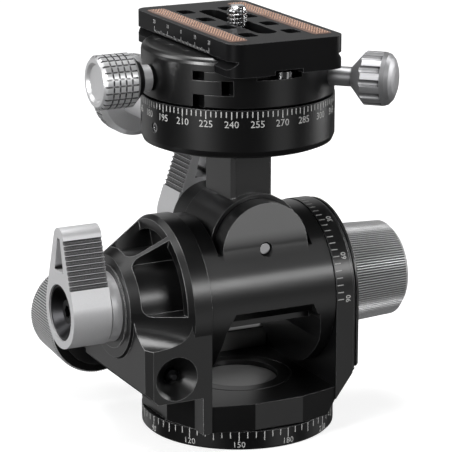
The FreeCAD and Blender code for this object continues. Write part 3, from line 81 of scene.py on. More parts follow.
# one material in the making, with one method for every kind of node
class Paint:
    def __init__(self, name):
        self.material = bpy.data.materials.new(name)
        self.material.use_nodes = True
        self.tree = self.material.node_tree
        self.shader = self.tree.nodes["Principled BSDF"]

    # settings first, then the values or links of the sockets; output is the socket that is handed on
    def node(self, kind, settings=None, inputs=None, output=0):
        made = self.tree.nodes.new(kind)
        for key, value in (settings or {}).items():
            if key == "stops":
                self.fillRamp(made.color_ramp, value)
            else:
                setattr(made, key, value)
        for key, value in (inputs or {}).items():
            self.feed(made.inputs[key], value)
        return Wire(self, made.outputs[output])

    def feed(self, socket, value):
        if isinstance(value, Wire):
            self.tree.links.new(value.socket, socket)
        else:
            socket.default_value = value

    def fillRamp(self, ramp, stops):
        while len(ramp.elements) < len(stops):
            ramp.elements.new(0.5)
        for element, (place, tone) in zip(ramp.elements, stops):
            element.position = place
            element.color = (tone, tone, tone, 1)

    def set(self, **values):
        for key, value in values.items():
            self.feed(self.shader.inputs[key.replace("_", " ")], value)

    def place(self):
        return self.node("ShaderNodeTexCoord", output="Object")

    def noise(self, scale, detail=3.0, roughness=0.5):
        return self.node("ShaderNodeTexNoise", {}, {
            "Vector": self.place(), "Scale": scale, "Detail": detail, "Roughness": roughness})

    def mix(self, factor, first, second):
        return self.node("ShaderNodeMix", {"data_type": "RGBA"}, {0: factor, 6: first, 7: second}, output=2)

    def ramp(self, wire, stops):
        return self.node("ShaderNodeValToRGB", {"stops": stops}, {"Fac": wire})

    # 0 at the low value, the top strength at the high one
    def span(self, value, low, high=1.0, top=1.0, smooth=False):
        kind = {"interpolation_type": "SMOOTHSTEP"} if smooth else {}
        return self.node("ShaderNodeMapRange", kind, {
            "Value": value, "From Min": low, "From Max": high, "To Max": top})

    def softNormal(self, radius):
        return self.node("ShaderNodeBevel", {"samples": 6}, {"Radius": radius})

    def bump(self, height, strength, distance, normal=None):
        inputs = {"Height": height, "Strength": strength, "Distance": distance}
        if normal:
            inputs["Normal"] = normal
        return self.node("ShaderNodeBump", {}, inputs)

    def dot(self, first, second):
        return self.node("ShaderNodeVectorMath", {"operation": "DOT_PRODUCT"}, {0: first, 1: second},
                         output="Value")

    # 1 at sharp edges, where the softened normal leaves the true one
    def edgeMask(self, soft, gain):
        true = self.node("ShaderNodeNewGeometry", output="Normal")
        return self.node("ShaderNodeClamp", {}, {"Value": (1.0 - self.dot(soft, true)) * gain})


def colour(tone):
    return (*tone, 1.0)


# satin black anodised metal: fine blasted grain, edges a little lighter, partly wear and partly painted highlight
anodised = {"tone": (0.002, 0.002, 0.0022), "cloudGain": 1.5, "worn": (0.26, 0.26, 0.265), "wear": 0.8,
            "wearSpread": 0.4, "rough": 0.3, "roughSpread": 0.07, "roughGrain": 0.06, "grain": 5200,
            "grainDepth": 0.005 * mm, "grainStrength": 0.35, "cloud": 60, "edge": 0.28 * mm, "edgeGain": 1.8,
            "specular": 0.95}

# how closely a face has to look along an axis to be masked (the cosine of its lean)
facingSpan = (0.97, 0.995)


# 0 to 1 between two places along one axis of the piece
def rise(paint, axis, low, high):
    along = paint.node("ShaderNodeSeparateXYZ", {}, {0: paint.place()}, output=axis)
    return paint.span(along, low, high, smooth=True)


# 1 where a face looks along a world axis (its sign is +1 or -1), 0 elsewhere
def facing(paint, axis, sign):
    true = paint.node("ShaderNodeNewGeometry", output="Normal")
    along = paint.node("ShaderNodeSeparateXYZ", {}, {0: true}, output=axis)
    return paint.span(along * sign, *facingSpan)


# black finish, three extras: painted light on some faces, no edge wear or painted highlight past a seam, a duller
# band
def blackAnodised(name, kit, paintedLight=None, seam=None, dull=None, **changes):
    kit = {**kit, **changes}
    paint = Paint(name)
    soft = paint.softNormal(kit["edge"])
    grain = paint.noise(kit["grain"], detail=2.0)
    cloud = paint.noise(kit["cloud"])
    base = paint.mix(cloud, colour(kit["tone"]), colour([v * kit["cloudGain"] for v in kit["tone"]]))
    if paintedLight:
        tone, axis, sign, span = paintedLight
        # faces looking along the axis, within the rise, are painted a paler tone: painted light
        base = paint.mix(facing(paint, axis, sign) * rise(paint, *span), base, colour(tone))
    # edges lightened by this mask: partly wear, partly a painted highlight where the edges would catch light
    worn = paint.edgeMask(soft, kit["edgeGain"])
    if seam:
        worn = worn * rise(paint, *seam)
    rough = kit["rough"] + (cloud - 0.5) * kit["roughSpread"] + (grain - 0.5) * kit["roughGrain"]
    if dull:
        amount, below, above = dull
        band = rise(paint, *below) * rise(paint, *above)
        rough = rough + band * amount
        worn = worn * (1.0 - band)
    worn = worn * (kit["wear"] + (cloud - 0.5) * kit["wearSpread"])
    paint.set(Base_Color=paint.mix(worn, base, colour(kit["worn"])), Roughness=rough,
              Normal=paint.bump(grain, kit["grainStrength"], kit["grainDepth"], soft),
              Specular_IOR_Level=kit["specular"])
    return paint.material


# clear anodised metal: bead blasted, with brighter edges
blasted = {"tone": (0.58, 0.58, 0.59), "shade": (0.45, 0.45, 0.46), "bright": (0.82, 0.82, 0.83),
           "metal": 0.5, "rough": 0.5, "roughSpread": 0.12, "grain": 4200, "grainDepth": 0.016 * mm,
           "grainStrength": 0.5, "grainShare": 0.4, "cloud": 90, "edge": 0.2 * mm, "edgeGain": 2.0,
           "edgeShare": 0.6}


def blastedSilver(name, kit):
    paint = Paint(name)
    soft = paint.softNormal(kit["edge"])
    grain = paint.noise(kit["grain"], roughness=0.65)
    cloud = paint.noise(kit["cloud"])
    blend = cloud * (1.0 - kit["grainShare"]) + grain * kit["grainShare"]
    base = paint.mix(blend, colour(kit["shade"]), colour(kit["tone"]))
    edge = paint.edgeMask(soft, kit["edgeGain"]) * kit["edgeShare"]
    rough = kit["rough"] + (cloud - 0.5) * kit["roughSpread"] + (grain - 0.5) * kit["roughSpread"]
    paint.set(Base_Color=paint.mix(edge, base, colour(kit["bright"])), Metallic=kit["metal"], Roughness=rough,
              Normal=paint.bump(grain, kit["grainStrength"], kit["grainDepth"], soft))
    return paint.material


# the knobs and levers: the grooves between the ridges get painted shade, which runs from shut to open
ridged = {"tone": (0.85, 0.85, 0.86), "shade": (0.7, 0.7, 0.71), "groove": (0.1, 0.1, 0.1), "metal": 0.7,
          "rough": 0.33, "roughSpread": 0.12, "reach": 0.7 * mm, "shut": 0.45, "open": 0.95, "edge": 0.06 * mm,
          "grain": 4200, "grainDepth": 0.012 * mm, "grainStrength": 0.4}


def ridgedSilver(name, kit, paintedShade=None, **changes):
    kit = {**kit, **changes}
    paint = Paint(name)
    soft = paint.softNormal(kit["edge"])
    grain = paint.noise(kit["grain"], roughness=0.65)
    unshaded = paint.node("ShaderNodeAmbientOcclusion", {"samples": 12, "only_local": True},
                          {"Distance": kit["reach"]}, output="AO")
    # painted shade: where the surface is shut in, the base goes to the groove tone
    lit = paint.span(unshaded, kit["shut"], kit["open"])
    base = paint.mix(lit, colour(kit["groove"]), paint.mix(grain, colour(kit["shade"]), colour(kit["tone"])))
    # painted shade: faces looking along the given axis are painted dark
    if paintedShade:
        tone, axis, sign = paintedShade
        base = paint.mix(facing(paint, axis, sign), base, colour(tone))
    rough = kit["rough"] + (grain - 0.5) * kit["roughSpread"]
    paint.set(Base_Color=base, Metallic=kit["metal"], Roughness=rough,
              Normal=paint.bump(grain, kit["grainStrength"], kit["grainDepth"], soft))
    return paint.material


# turned metal with fine rings, drawn out along the axis that it was turned about
turned = {"edge": 0.12 * mm, "rings": 900.0, "ringShade": 0.82, "ringSpread": 0.16, "ringDepth": 0.01 * mm,
          "ringStrength": 0.3, "cloud": 200, "cloudSpread": 0.08}


def turnedMetal(name, kit, tone, rough, stretch):
    paint = Paint(name)
    soft = paint.softNormal(kit["edge"])
    spot = paint.node("ShaderNodeMapping", {}, {"Vector": paint.place(), "Scale": stretch})
    rings = paint.node("ShaderNodeTexNoise", {}, {"Vector": spot, "Scale": kit["rings"], "Detail": 4.0})
    cloud = paint.noise(kit["cloud"], detail=2.0)
    spread = (rings - 0.5) * kit["ringSpread"] + (cloud - 0.5) * kit["cloudSpread"]
    paint.set(Base_Color=paint.mix(rings, colour([v * kit["ringShade"] for v in tone]), colour(tone)),
              Metallic=1.0, Roughness=rough + spread,
              Normal=paint.bump(rings, kit["ringStrength"], kit["ringDepth"], soft))
    return paint.material


# dark moulded polymer of the washer that the yoke turns on
plastic = {"low": (0.02, 0.02, 0.02), "high": (0.05, 0.05, 0.05), "rough": 0.55, "roughSpread": 0.1,
           "speck": 2600, "depth": 0.01 * mm, "strength": 0.3}


def bearingPlastic(name, kit):
    paint = Paint(name)
    speck = paint.noise(kit["speck"], detail=2.0)
    paint.set(Base_Color=paint.mix(speck, colour(kit["low"]), colour(kit["high"])),
              Roughness=kit["rough"] + (speck - 0.5) * kit["roughSpread"],
              Normal=paint.bump(speck, kit["strength"], kit["depth"]))
    return paint.material


# tan grip rubber: the dots' tops are pale, and the low ground between them is painted dark as shade
gripKit = {"ground": (0.12, 0.06, 0.04), "low": (0.34, 0.18, 0.12), "high": (0.52, 0.31, 0.21),
           "groundHeight": 0.12 * mm, "dotHeight": 0.10 * mm, "rough": 0.7, "roughSpread": 0.25, "sheen": 0.2,
           "speck": 3800, "speckDepth": 0.02 * mm, "speckStrength": 0.5, "patch": 260}


def dottedRubber(name, kit, floorHeight):
    paint = Paint(name)
    speck = paint.noise(kit["speck"], roughness=0.7)
    patch = paint.noise(kit["patch"])
    height = paint.node("ShaderNodeSeparateXYZ", {}, {0: paint.place()}, output=2)
    raised = paint.span(height, floorHeight, floorHeight + kit["dotHeight"])
    body = paint.mix(speck * 0.5 + patch * 0.5, colour(kit["low"]), colour(kit["high"]))
    # painted shade: below the dots' height the tone goes to the dark ground colour
    paint.set(Base_Color=paint.mix(raised, colour(kit["ground"]), body),
              Roughness=kit["rough"] + (speck - 0.5) * kit["roughSpread"],
              Normal=paint.bump(speck, kit["speckStrength"], kit["speckDepth"]), Sheen_Weight=kit["sheen"])
    return paint.material


# paint in the engraved marks: the ramp's stops make the thin spots, which are darker by the fade
fill = {"speck": 7000, "stops": [(0.3, 0.0), (0.55, 1.0)], "fade": 0.7, "rough": 0.6, "roughSpread": 0.2,
        "depth": 0.01 * mm, "strength": 0.4}


def engravingFill(name, kit, tone):
    paint = Paint(name)
    speck = paint.noise(kit["speck"], roughness=0.7)
    thin = colour([v * kit["fade"] for v in tone])
    paint.set(Base_Color=paint.mix(paint.ramp(speck, kit["stops"]), thin, colour(tone)),
              Roughness=kit["rough"] + (speck - 0.5) * kit["roughSpread"],
              Normal=paint.bump(speck, kit["strength"], kit["depth"]))
    return paint.material


# a painted-light part gives its pale tone, the axis and sign its faces look along, and the rise (axis, low, high)
# bounding it; a dull band gives the roughness added, and the two rises whose product is the band
black = blackAnodised("satin black", anodised)
plateBlack = blackAnodised("plate black", anodised, tone=(0.004, 0.004, 0.0044), rough=0.4, specular=0.15,
                           worn=(0.3, 0.3, 0.31))
# the tower's window edges get a strong painted highlight, with some wear
towerBlack = blackAnodised("tower black", anodised, seam=(0, -22.0 * mm, -23.0 * mm), edgeGain=3.0, wear=1.0,
                           worn=(0.55, 0.55, 0.55))
# the drum's front ear gets a painted highlight: faces looking to -y, 60.5 to 66.5 mm up, painted pale
drumBlack = blackAnodised("drum black", anodised,
                          paintedLight=((0.17, 0.17, 0.17), 1, -1.0, (2, 60.5 * mm, 66.5 * mm)),
                          dull=(0.3, (2, 53.5 * mm, 56 * mm), (2, 62.5 * mm, 60 * mm)))
# painted light: the rear wall's front face is painted pale
floorBlack = blackAnodised("floor black", anodised,
                           paintedLight=((0.45, 0.45, 0.45), 1, -1.0, (1, 20 * mm, 20.8 * mm)))
# painted light: the centre cap's top face is painted pale
capBlack = blackAnodised("cap black", anodised,
                         paintedLight=((0.45, 0.45, 0.45), 2, 1.0, (2, 12 * mm, 12.5 * mm)))
silver = blastedSilver("blasted silver", blasted)
knobSilver = ridgedSilver("ridged silver", ridged)
# the pitch knob's faces that look to -y are painted near black: painted shade
paintedShadeSilver = ridgedSilver("backed silver", ridged, paintedShade=((0.012, 0.012, 0.012), 1, -1.0))
flutedSilver = ridgedSilver("fluted silver", ridged, metal=0.8, rough=0.44, reach=3.0 * mm, shut=0.6, open=0.97,
                            tone=(0.42, 0.42, 0.43), shade=(0.34, 0.34, 0.35), groove=(0.03, 0.03, 0.03))
threadSteel = ridgedSilver("thread steel", ridged, metal=1.0, rough=0.2, reach=0.9 * mm, shut=0.5, open=0.9,
                           tone=(0.8, 0.8, 0.81), shade=(0.7, 0.7, 0.71), groove=(0.02, 0.02, 0.02))
leverSilver = ridgedSilver("lever silver", ridged, metal=0.55, rough=0.46, reach=1.6 * mm, shut=0.72, open=0.96,
                           tone=(0.76, 0.76, 0.77), shade=(0.62, 0.62, 0.63), groove=(0.06, 0.06, 0.06))
steel = turnedMetal("turned steel", turned, (0.7, 0.7, 0.71), 0.2, (1, 1, 0.05))
darkSteel = turnedMetal("blackened steel", turned, (0.035, 0.035, 0.037), 0.36, (1, 1, 0.3))
brass = turnedMetal("machined brass", turned, (0.72, 0.53, 0.24), 0.3, (1, 1, 0.3))
washerPlastic = bearingPlastic("bearing plastic", plastic)
rubber = dottedRubber("tan rubber", gripKit, plate[1][2] + gripKit["groundHeight"])
white = engravingFill("white fill", fill, (0.6, 0.6, 0.59))
greyFill = engravingFill("grey fill", fill, (0.45, 0.45, 0.45))
print("finishes ready")


# every CAD node gets a finish; those not named here are satin black
finishOf = {
    silver: ["clamp_screw", "base_lock_knob", "pan_worm_sleeve"],
    knobSilver: ["roll_knob", "pan_knob", "clamp_knob"],
    paintedShadeSilver: ["pitch_knob"],
    flutedSilver: ["pan_lock_knob"],
    leverSilver: ["pitch_lock_lever", "roll_lock_lever", "pitch_lever_sleeve", "roll_lever_sleeve"],
    steel: ["base_screws", "pitch_shaft", "roll_axle", "pan_set_screws", "safety_pin", "camera_screw",
            "jaw_springs", "base_spindle", "roll_worm", "pan_worm"],
    darkSteel: ["cheek_screws", "bearing_cover_screws", "pitch_worm", "pitch_lever_screw", "roll_lever_screw",
                "pitch_worm_bushes"],
    towerBlack: ["left_tower"],
    drumBlack: ["drum"],
    floorBlack: ["yoke_floor"],
    capBlack: ["centre_cap"],
    brass: ["pitch_worm_wheel", "roll_worm_wheel", "pan_worm_wheel", "roll_worm_bushes",
            "pan_worm_bushes", "base_lock_pad", "pan_lock_pad"],
    rubber: ["left_grip_strip", "right_grip_strip"],
    washerPlastic: ["bearing_washer"],
    plateBlack: ["camera_plate"],
}
for node in nodes.values():
    node.data.materials.clear()
    node.data.materials.append(black)
for finish, names in finishOf.items():
    for name in names:
        nodes[name].data.materials[0] = finish
print("parts painted:", len(nodes))


# a finished piece: normals out, one material, riding its body, smooth up to an angle in degrees
def finishMesh(bm, name, material, body, smooth=None):
    bmesh.ops.recalc_face_normals(bm, faces=bm.faces)
    mesh = bpy.data.meshes.new(name)
    bm.to_mesh(mesh)
    bm.free()
    mesh.materials.append(material)
    piece = bpy.data.objects.new(name, mesh)
    bpy.context.scene.collection.objects.link(piece)
    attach(piece, body)
    if smooth:
        for face in mesh.polygons:
            face.use_smooth = True
        mesh.set_sharp_from_angle(angle=math.radians(smooth))
    return piece


def addBar(bm, width, height, depth, at):
    made = bmesh.ops.create_cube(bm, size=1.0)
    place = Matrix.Translation(at) @ Matrix.Diagonal((width, height, depth, 1))
    bmesh.ops.transform(bm, verts=made["verts"], matrix=place)
    return made["verts"]


def addWords(bm, words, size, depth, place, weight=0.0):
    curve = bpy.data.curves.new("words", "FONT")
    curve.body = words
    curve.size = size
    curve.extrude = depth / 2
    curve.offset = weight
    curve.align_x = "CENTER"
    curve.align_y = "CENTER"
    curve.resolution_u = 2
    holder = bpy.data.objects.new("words", curve)
    mesh = bpy.data.meshes.new_from_object(holder)
    before = len(bm.verts)
    bm.from_mesh(mesh)
    bm.verts.ensure_lookup_table()
    fresh = bm.verts[before:]
    bmesh.ops.transform(bm, verts=fresh, matrix=place)
    bpy.data.objects.remove(holder)
    bpy.data.curves.remove(curve)
    bpy.data.meshes.remove(mesh)
    return fresh


def wrapRound(verts, radius, angle, frameMatrix):
    # x along the circle, y along the axis, z outwards, carried to a cylinder about the frame's Z
    for vert in verts:
        turn = angle + vert.co.x / radius
        reach = radius + vert.co.z
        vert.co = frameMatrix @ Vector((reach * math.cos(turn), reach * math.sin(turn), vert.co.y))


# ticks and numbers round a ring; zero and sense set where its angles start and which way they count
def ringScale(name, kit, body, frameMatrix, material=white):
    bm = bmesh.new()
    count = round(kit["span"] / kit["step"])
    for index in range(count + (kit["span"] < 360)):
        value = kit["first"] + index * kit["step"]
        length = kit["long"] if value % kit["longEvery"] == 0 else kit["short"]
        angle = math.radians(kit["zero"] + kit["sense"] * value)
        verts = addBar(bm, kit["width"], length, kit["proud"], (0, kit["edge"] + kit["side"] * length / 2, 0))
        wrapRound(verts, kit["radius"], angle, frameMatrix)
    for value in kit["numbers"]:
        angle = math.radians(kit["zero"] + kit["sense"] * value)
        place = Matrix.Translation((0, kit["line"], 0)) @ Matrix.Rotation(kit.get("turn", 0.0), 4, "Z")
        fresh = addWords(bm, str(value), kit["size"], kit["proud"], place, kit.get("weight", 0.0))
        wrapRound(fresh, kit["radius"], angle, frameMatrix)
    return finishMesh(bm, name, material, body)


def axisFrame(at, zDirection, xDirection):
    z = Vector(zDirection).normalized()
    x = Vector(xDirection).normalized()
    return Matrix.Translation(at) @ Matrix((x, z.cross(x), z)).transposed().to_4x4()


def spun(bm, stations, place, steps):
    # closed solid of revolution through (distance along the axis, radius) stations, about the frame's Z
    verts = [bm.verts.new(place @ Vector((radius, 0, along))) for along, radius in stations]
    edges = [bm.edges.new(pair) for pair in zip(verts[:-1], verts[1:])]
    bmesh.ops.spin(bm, geom=verts + edges, cent=place.translation, axis=place.to_3x3() @ Vector((0, 0, 1)),
                   steps=steps, angle=2 * math.pi, use_merge=True)


# the scales: the pan disc's edge, the base ring, the right tower for the pitch, and the roll collar
panScale = {"radius": 30.0 * mm, "edge": 106.45 * mm, "side": -1, "short": 1.75 * mm, "long": 2.4 * mm,
            "width": 0.32 * mm, "proud": 0.06 * mm, "first": 0, "span": 360, "step": 3, "longEvery": 15,
            "zero": 0, "sense": 1, "numbers": range(0, 360, 15), "line": 102.5 * mm, "size": 3.0 * mm}
ringScale("pan_scale", panScale, "column", Matrix.Identity(4))

baseScale = {"radius": 30.5 * mm, "edge": 5.9 * mm, "side": -1, "short": 2.0 * mm, "long": 2.9 * mm,
             "width": 0.3 * mm, "proud": 0.06 * mm, "first": 0, "span": 360, "step": 5, "longEvery": 15,
             "zero": -265.5, "sense": 1, "numbers": range(0, 360, 30), "line": 1.75 * mm, "size": 2.7 * mm}
ringScale("base_scale", baseScale, "base", Matrix.Identity(4))

tiltScale = {"radius": 26.0 * mm, "edge": 21.9 * mm, "side": 1, "short": 2.1 * mm, "long": 2.1 * mm,
             "width": 0.24 * mm, "proud": 0.05 * mm, "first": 0, "span": 90, "step": 5, "longEvery": 30,
             "zero": 0, "sense": 1, "numbers": (30, 60, 90), "line": 25.6 * mm, "size": 2.4 * mm,
             "turn": math.pi, "weight": 0.02 * mm}
ringScale("tilt_scale", tiltScale, "yoke", axisFrame(pitchAxis, (1, 0, 0), (0, 0, 1)))

rollScale = {"radius": 12.6 * mm, "edge": 11.4 * mm, "side": 1, "short": 1.3 * mm, "long": 2.0 * mm,
             "width": 0.24 * mm, "proud": 0.06 * mm, "first": -30, "span": 60, "step": 5, "longEvery": 10,
             "zero": 90, "sense": -1, "numbers": (-30, -20, -10, 0, 10, 20, 30), "line": 15.2 * mm,
             "size": 1.9 * mm}
ringScale("roll_scale", rollScale, "drum", axisFrame(rollAxis, (0, 1, 0), (1, 0, 0)), greyFill)
print("scales engraved")


# ruler on the plate's left side, and the three marks on the jaw under it
rulerKit = {"reach": 20, "longEvery": 10, "middleEvery": 5, "short": 0.7 * mm, "middle": 1.1 * mm,
            "long": 1.7 * mm, "width": 0.26 * mm, "proud": 0.05 * mm, "foot": 0.25 * mm, "slab": 5.2 * mm,
            "line": 3.2 * mm, "size": 1.75 * mm, "scale": 0.97 * mm, "middleY": 0.5 * mm}


def makeRuler(kit):
    bm = bmesh.new()
    low = plate[1][2] - kit["slab"] + kit["foot"]
    side = plate[0][0]
    for value in range(-kit["reach"], kit["reach"] + 1):
        length = kit["middle"] if value % kit["middleEvery"] == 0 else kit["short"]
        length = kit["long"] if value % kit["longEvery"] == 0 else length
        spot = (side, kit["middleY"] + value * kit["scale"], low + length / 2)
        addBar(bm, kit["proud"], kit["width"], length, spot)
    for value in range(-kit["reach"], kit["reach"] + 1, kit["longEvery"]):
        spot = Vector((side, kit["middleY"] + value * kit["scale"], low + kit["line"]))
        addWords(bm, str(abs(value)), kit["size"], kit["proud"], axisFrame(spot, (-1, 0, 0), (0, -1, 0)))
    finishMesh(bm, "plate_ruler", greyFill, "plate")


makeRuler(rulerKit)


jawMarkKit = {"places": (12.8 * mm, 2.4 * mm, -8.2 * mm), "reach": -21.2 * mm, "width": 0.22 * mm,
              "length": 1.3 * mm, "proud": 0.05 * mm}


def makeJawMarks(kit):
    bm = bmesh.new()
    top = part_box("clamp_jaw")[1][2]
    for y in kit["places"]:
        addBar(bm, kit["length"], kit["width"], kit["proud"], (kit["reach"], y, top))
    finishMesh(bm, "jaw_marks", greyFill, "jaw")


makeJawMarks(jawMarkKit)
print("ruler and marks made")


# threaded camera screw in place of the plain one; its thread runs out at both ends
screwKit = {"major": 3.175 * mm, "minor": 2.5 * mm, "root": 2.45 * mm, "pitch": 1.27 * mm, "flat": 0.1 * mm,
            "stepsPerTurn": 28, "turns": 8, "start": 122.2 * mm, "tip": 0.5 * mm, "headRadius": 5.6 * mm,
            "head": 3.0 * mm, "chamfer": 0.3 * mm, "sides": 48, "runOut": 0.3 * mm, "topGap": 0.1 * mm,
            "smooth": 40}


def makeCameraScrew(kit):
    low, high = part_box("camera_screw")
    centre = Vector(((low[0] + high[0]) / 2, (low[1] + high[1]) / 2, 0))
    bm = bmesh.new()
    neck, root, wide, chamfer = kit["minor"], kit["root"], kit["headRadius"], kit["chamfer"]
    spun(bm, [(low[2], 0), (low[2], wide - chamfer), (low[2] + chamfer, wide), (low[2] + kit["head"], wide),
              (low[2] + kit["head"], neck), (high[2] - kit["tip"], neck), (high[2], neck - kit["tip"]),
              (high[2], 0)], Matrix.Translation(centre), kit["sides"])
    bmesh.ops.remove_doubles(bm, verts=bm.verts, dist=fineMerge)
    half = kit["pitch"] / 2
    profile = [(root, -half), (kit["major"], -kit["flat"]), (kit["major"], kit["flat"]), (root, half)]
    before = len(bm.verts)
    verts = [bm.verts.new(centre + Vector((radius, 0, kit["start"] + along))) for radius, along in profile]
    edges = [bm.edges.new(pair) for pair in zip(verts[:-1], verts[1:])]
    steps = kit["turns"] * kit["stepsPerTurn"]
    bmesh.ops.spin(bm, geom=verts + edges, cent=centre, axis=(0, 0, 1), steps=steps,
                   angle=2 * math.pi * kit["turns"], dvec=(0, 0, kit["pitch"] / kit["stepsPerTurn"]))
    bm.verts.ensure_lookup_table()
    for vert in bm.verts[before:]:
        reach = max((vert.co - centre).to_2d().length, neck / 2)
        room = min(high[2] - kit["runOut"] - vert.co.z, vert.co.z - kit["start"] + half) / kit["pitch"]
        wanted = min(reach, root + (kit["major"] - neck) * max(0.0, min(1.0, room)))
        across = (vert.co - centre).to_2d() * (wanted / reach)
        vert.co = (centre.x + across.x, centre.y + across.y, min(vert.co.z, high[2] - kit["topGap"]))
    piece = finishMesh(bm, "threaded_camera_screw", threadSteel, "camera_screw", kit["smooth"])
    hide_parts("camera_screw")


makeCameraScrew(screwKit)


# grip strips: a crowned pad with close rows of low dots
stripKit = {"pitch": 0.92 * mm, "rowRatio": 0.866, "radius": 0.34 * mm, "topRadius": 0.204 * mm,
            "height": 0.1445 * mm, "sunk": 0.01 * mm, "sides": 8, "margin": 0.45 * mm, "corner": 6,
            "crown": 0.14 * mm, "rounding": 1.5 * mm, "longer": 0.6 * mm, "smooth": 50}


# the points of a rectangle with rounded corners
def roundedOutline(halfX, halfY, rounding, segments):
    points = []
    for quarter, (signX, signY) in enumerate(((1, 1), (-1, 1), (-1, -1), (1, -1))):
        for index in range(segments + 1):
            angle = math.pi / 2 * (quarter + index / segments)
            points.append((signX * (halfX - rounding) + rounding * math.cos(angle),
                           signY * (halfY - rounding) + rounding * math.sin(angle)))
    return points


# the new faces and the new points of an extrusion that has yet to be moved
def extruded(bm, faces, keep=False):
    grown = bmesh.ops.extrude_face_region(bm, geom=faces, use_keep_orig=True)["geom"]
    if not keep:
        bmesh.ops.delete(bm, geom=faces, context="FACES_ONLY")
    return [[part for part in grown if isinstance(part, kind)]
            for kind in (bmesh.types.BMFace, bmesh.types.BMVert)]


# the plain pad under the dots, with a chamfered rim
def makePad(bm, middle, halfX, halfY, ground, kit):
    outline = roundedOutline(halfX, halfY, kit["rounding"], kit["corner"])
    bottom = bm.faces.new([bm.verts.new(middle + Vector((x, y, 0))) for x, y in outline])
    faces, wall = extruded(bm, [bottom], True)
    bmesh.ops.translate(bm, verts=wall, vec=(0, 0, ground - kit["crown"] - middle.z))
    top = extruded(bm, faces)[1]
    for vert in top:
        inwards = (-math.copysign(kit["crown"], vert.co[axis] - middle[axis]) for axis in (0, 1))
        vert.co += Vector((*inwards, kit["crown"]))


def addDot(bm, at, kit):
    depth = kit["height"] + kit["sunk"]
    middle = Matrix.Translation(at + Vector((0, 0, depth / 2 - kit["sunk"])))
    made = bmesh.ops.create_cone(bm, cap_ends=True, segments=kit["sides"], radius1=kit["radius"],
                                 radius2=kit["topRadius"], depth=depth, matrix=middle)
    foot = sorted(made["verts"], key=lambda vert: vert.co.z)[:kit["sides"]]
    hidden = [face for face in foot[0].link_faces if all(vert in foot for vert in face.verts)]
    bmesh.ops.delete(bm, geom=hidden, context="FACES_ONLY")


def makeGripStrip(name, node, kit):
    low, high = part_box(node)
    middle = Vector(((low[0] + high[0]) / 2, (low[1] + high[1]) / 2, low[2]))
    halfX, halfY = (high[0] - low[0]) / 2, (high[1] - low[1]) / 2 + kit["longer"]
    ground = plate[1][2] + gripKit["groundHeight"]
    bm = bmesh.new()
    makePad(bm, middle, halfX, halfY, ground, kit)
    rowPitch = kit["pitch"] * kit["rowRatio"]
    rows = int((halfY - kit["margin"]) / rowPitch)
    across = int((halfX - kit["margin"]) / kit["pitch"])
    for row in range(-rows, rows + 1):
        y = row * rowPitch
        for column in range(-across, across + 1):
            x = (column + 0.5 * (row % 2)) * kit["pitch"]
            cornerX = max(0.0, abs(x) - (halfX - kit["rounding"]))
            cornerY = max(0.0, abs(y) - (halfY - kit["rounding"]))
            if math.hypot(cornerX, cornerY) <= kit["rounding"] - kit["margin"]:
                addDot(bm, Vector((middle.x + x, middle.y + y, ground)), kit)
    piece = finishMesh(bm, name, rubber, "plate", kit["smooth"])
    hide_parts(node)


makeGripStrip("left_dotted_strip", "left_grip_strip", stripKit)
makeGripStrip("right_dotted_strip", "right_grip_strip", stripKit)
print("screw and strips made")


# the floor's rear wall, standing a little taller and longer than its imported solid
wallKit = {"low": (-17.6, 21.0, 14.6), "high": (21.4, 25.7, 21.6), "bevel": 0.35 * mm, "smooth": 40}


def makeRearWall(kit):
    low, high = Vector(kit["low"]) * mm, Vector(kit["high"]) * mm
    bm = bmesh.new()
    addBar(bm, *(high - low), (low + high) / 2)
    bmesh.ops.bevel(bm, geom=bm.edges[:], offset=kit["bevel"], affect="EDGES", segments=3, profile=0.5,
                    material=-1)
    finishMesh(bm, "rear_wall_rail", floorBlack, "yoke", kit["smooth"])


makeRearWall(wallKit)


# the drum's cutaway in millimetres: half of its outline (x, z), wider below; it is cut off above one plane where
# it runs right through, and above a slanting one at the front; each plane is a point (y, z) and a normal
drumKit = {"outline": ((13.4, 43.1), (16.2, 37.5), (17.5, 30.0), (17.5, 10.0)), "reach": 34.0, "inner": -10.0,
           "through": (0, 36.6), "throughNormal": (0, 0, 1), "lip": (-25.5, 43.1), "lipNormal": (0, 6.5, 7.7),
           "smooth": 32}


def makeCutter(kit, reach, plane, normal):
    bm = bmesh.new()
    outline = [*kit["outline"], *((-x, z) for x, z in reversed(kit["outline"]))]
    front = bm.faces.new([bm.verts.new(Vector((x, -kit["reach"], z)) * mm) for x, z in outline])
    verts = extruded(bm, [front], True)[1]
    bmesh.ops.translate(bm, verts=verts, vec=(0, (kit["reach"] + reach) * mm, 0))
    cut = bmesh.ops.bisect_plane(bm, geom=bm.verts[:] + bm.edges[:] + bm.faces[:], dist=fineMerge,
                                 plane_co=Vector((0, *plane)) * mm, plane_no=normal, clear_outer=True)
    edges = [part for part in cut["geom_cut"] if isinstance(part, bmesh.types.BMEdge)]
    bmesh.ops.contextual_create(bm, geom=edges)
    bmesh.ops.recalc_face_normals(bm, faces=bm.faces)
    mesh = bpy.data.meshes.new("cutter")
    bm.to_mesh(mesh)
    bm.free()
    return bpy.data.objects.new("cutter", mesh)


# faces left over from the first mesh keep its smooth normals, within this gap and lean; new faces are flat
keptGap = 0.01 * mm
keptLean = 0.99


def keepNormals(mesh, first):
    corners = [vert.co.copy() for vert in first.vertices]
    tree = BVHTree.FromPolygons(corners, [face.vertices[:] for face in first.polygons])
    normals = [None] * len(mesh.loops)
    for face in mesh.polygons:
        spot, across, index, gap = tree.find_nearest(face.center)
        kept = gap < keptGap and abs(face.normal.dot(first.polygons[index].normal)) > keptLean
        for loop in face.loop_indices:
            normals[loop] = face.normal.copy()
            if kept:
                at = mesh.vertices[mesh.loops[loop].vertex_index].co
                source = first.polygons[index]
                shares = poly_3d_calc([corners[vert] for vert in source.vertices], at)
                mixed = sum((first.corner_normals[corner].vector * share
                             for corner, share in zip(source.loop_indices, shares)), Vector())
                normals[loop] = mixed.normalized()
    mesh.normals_split_custom_set(normals)


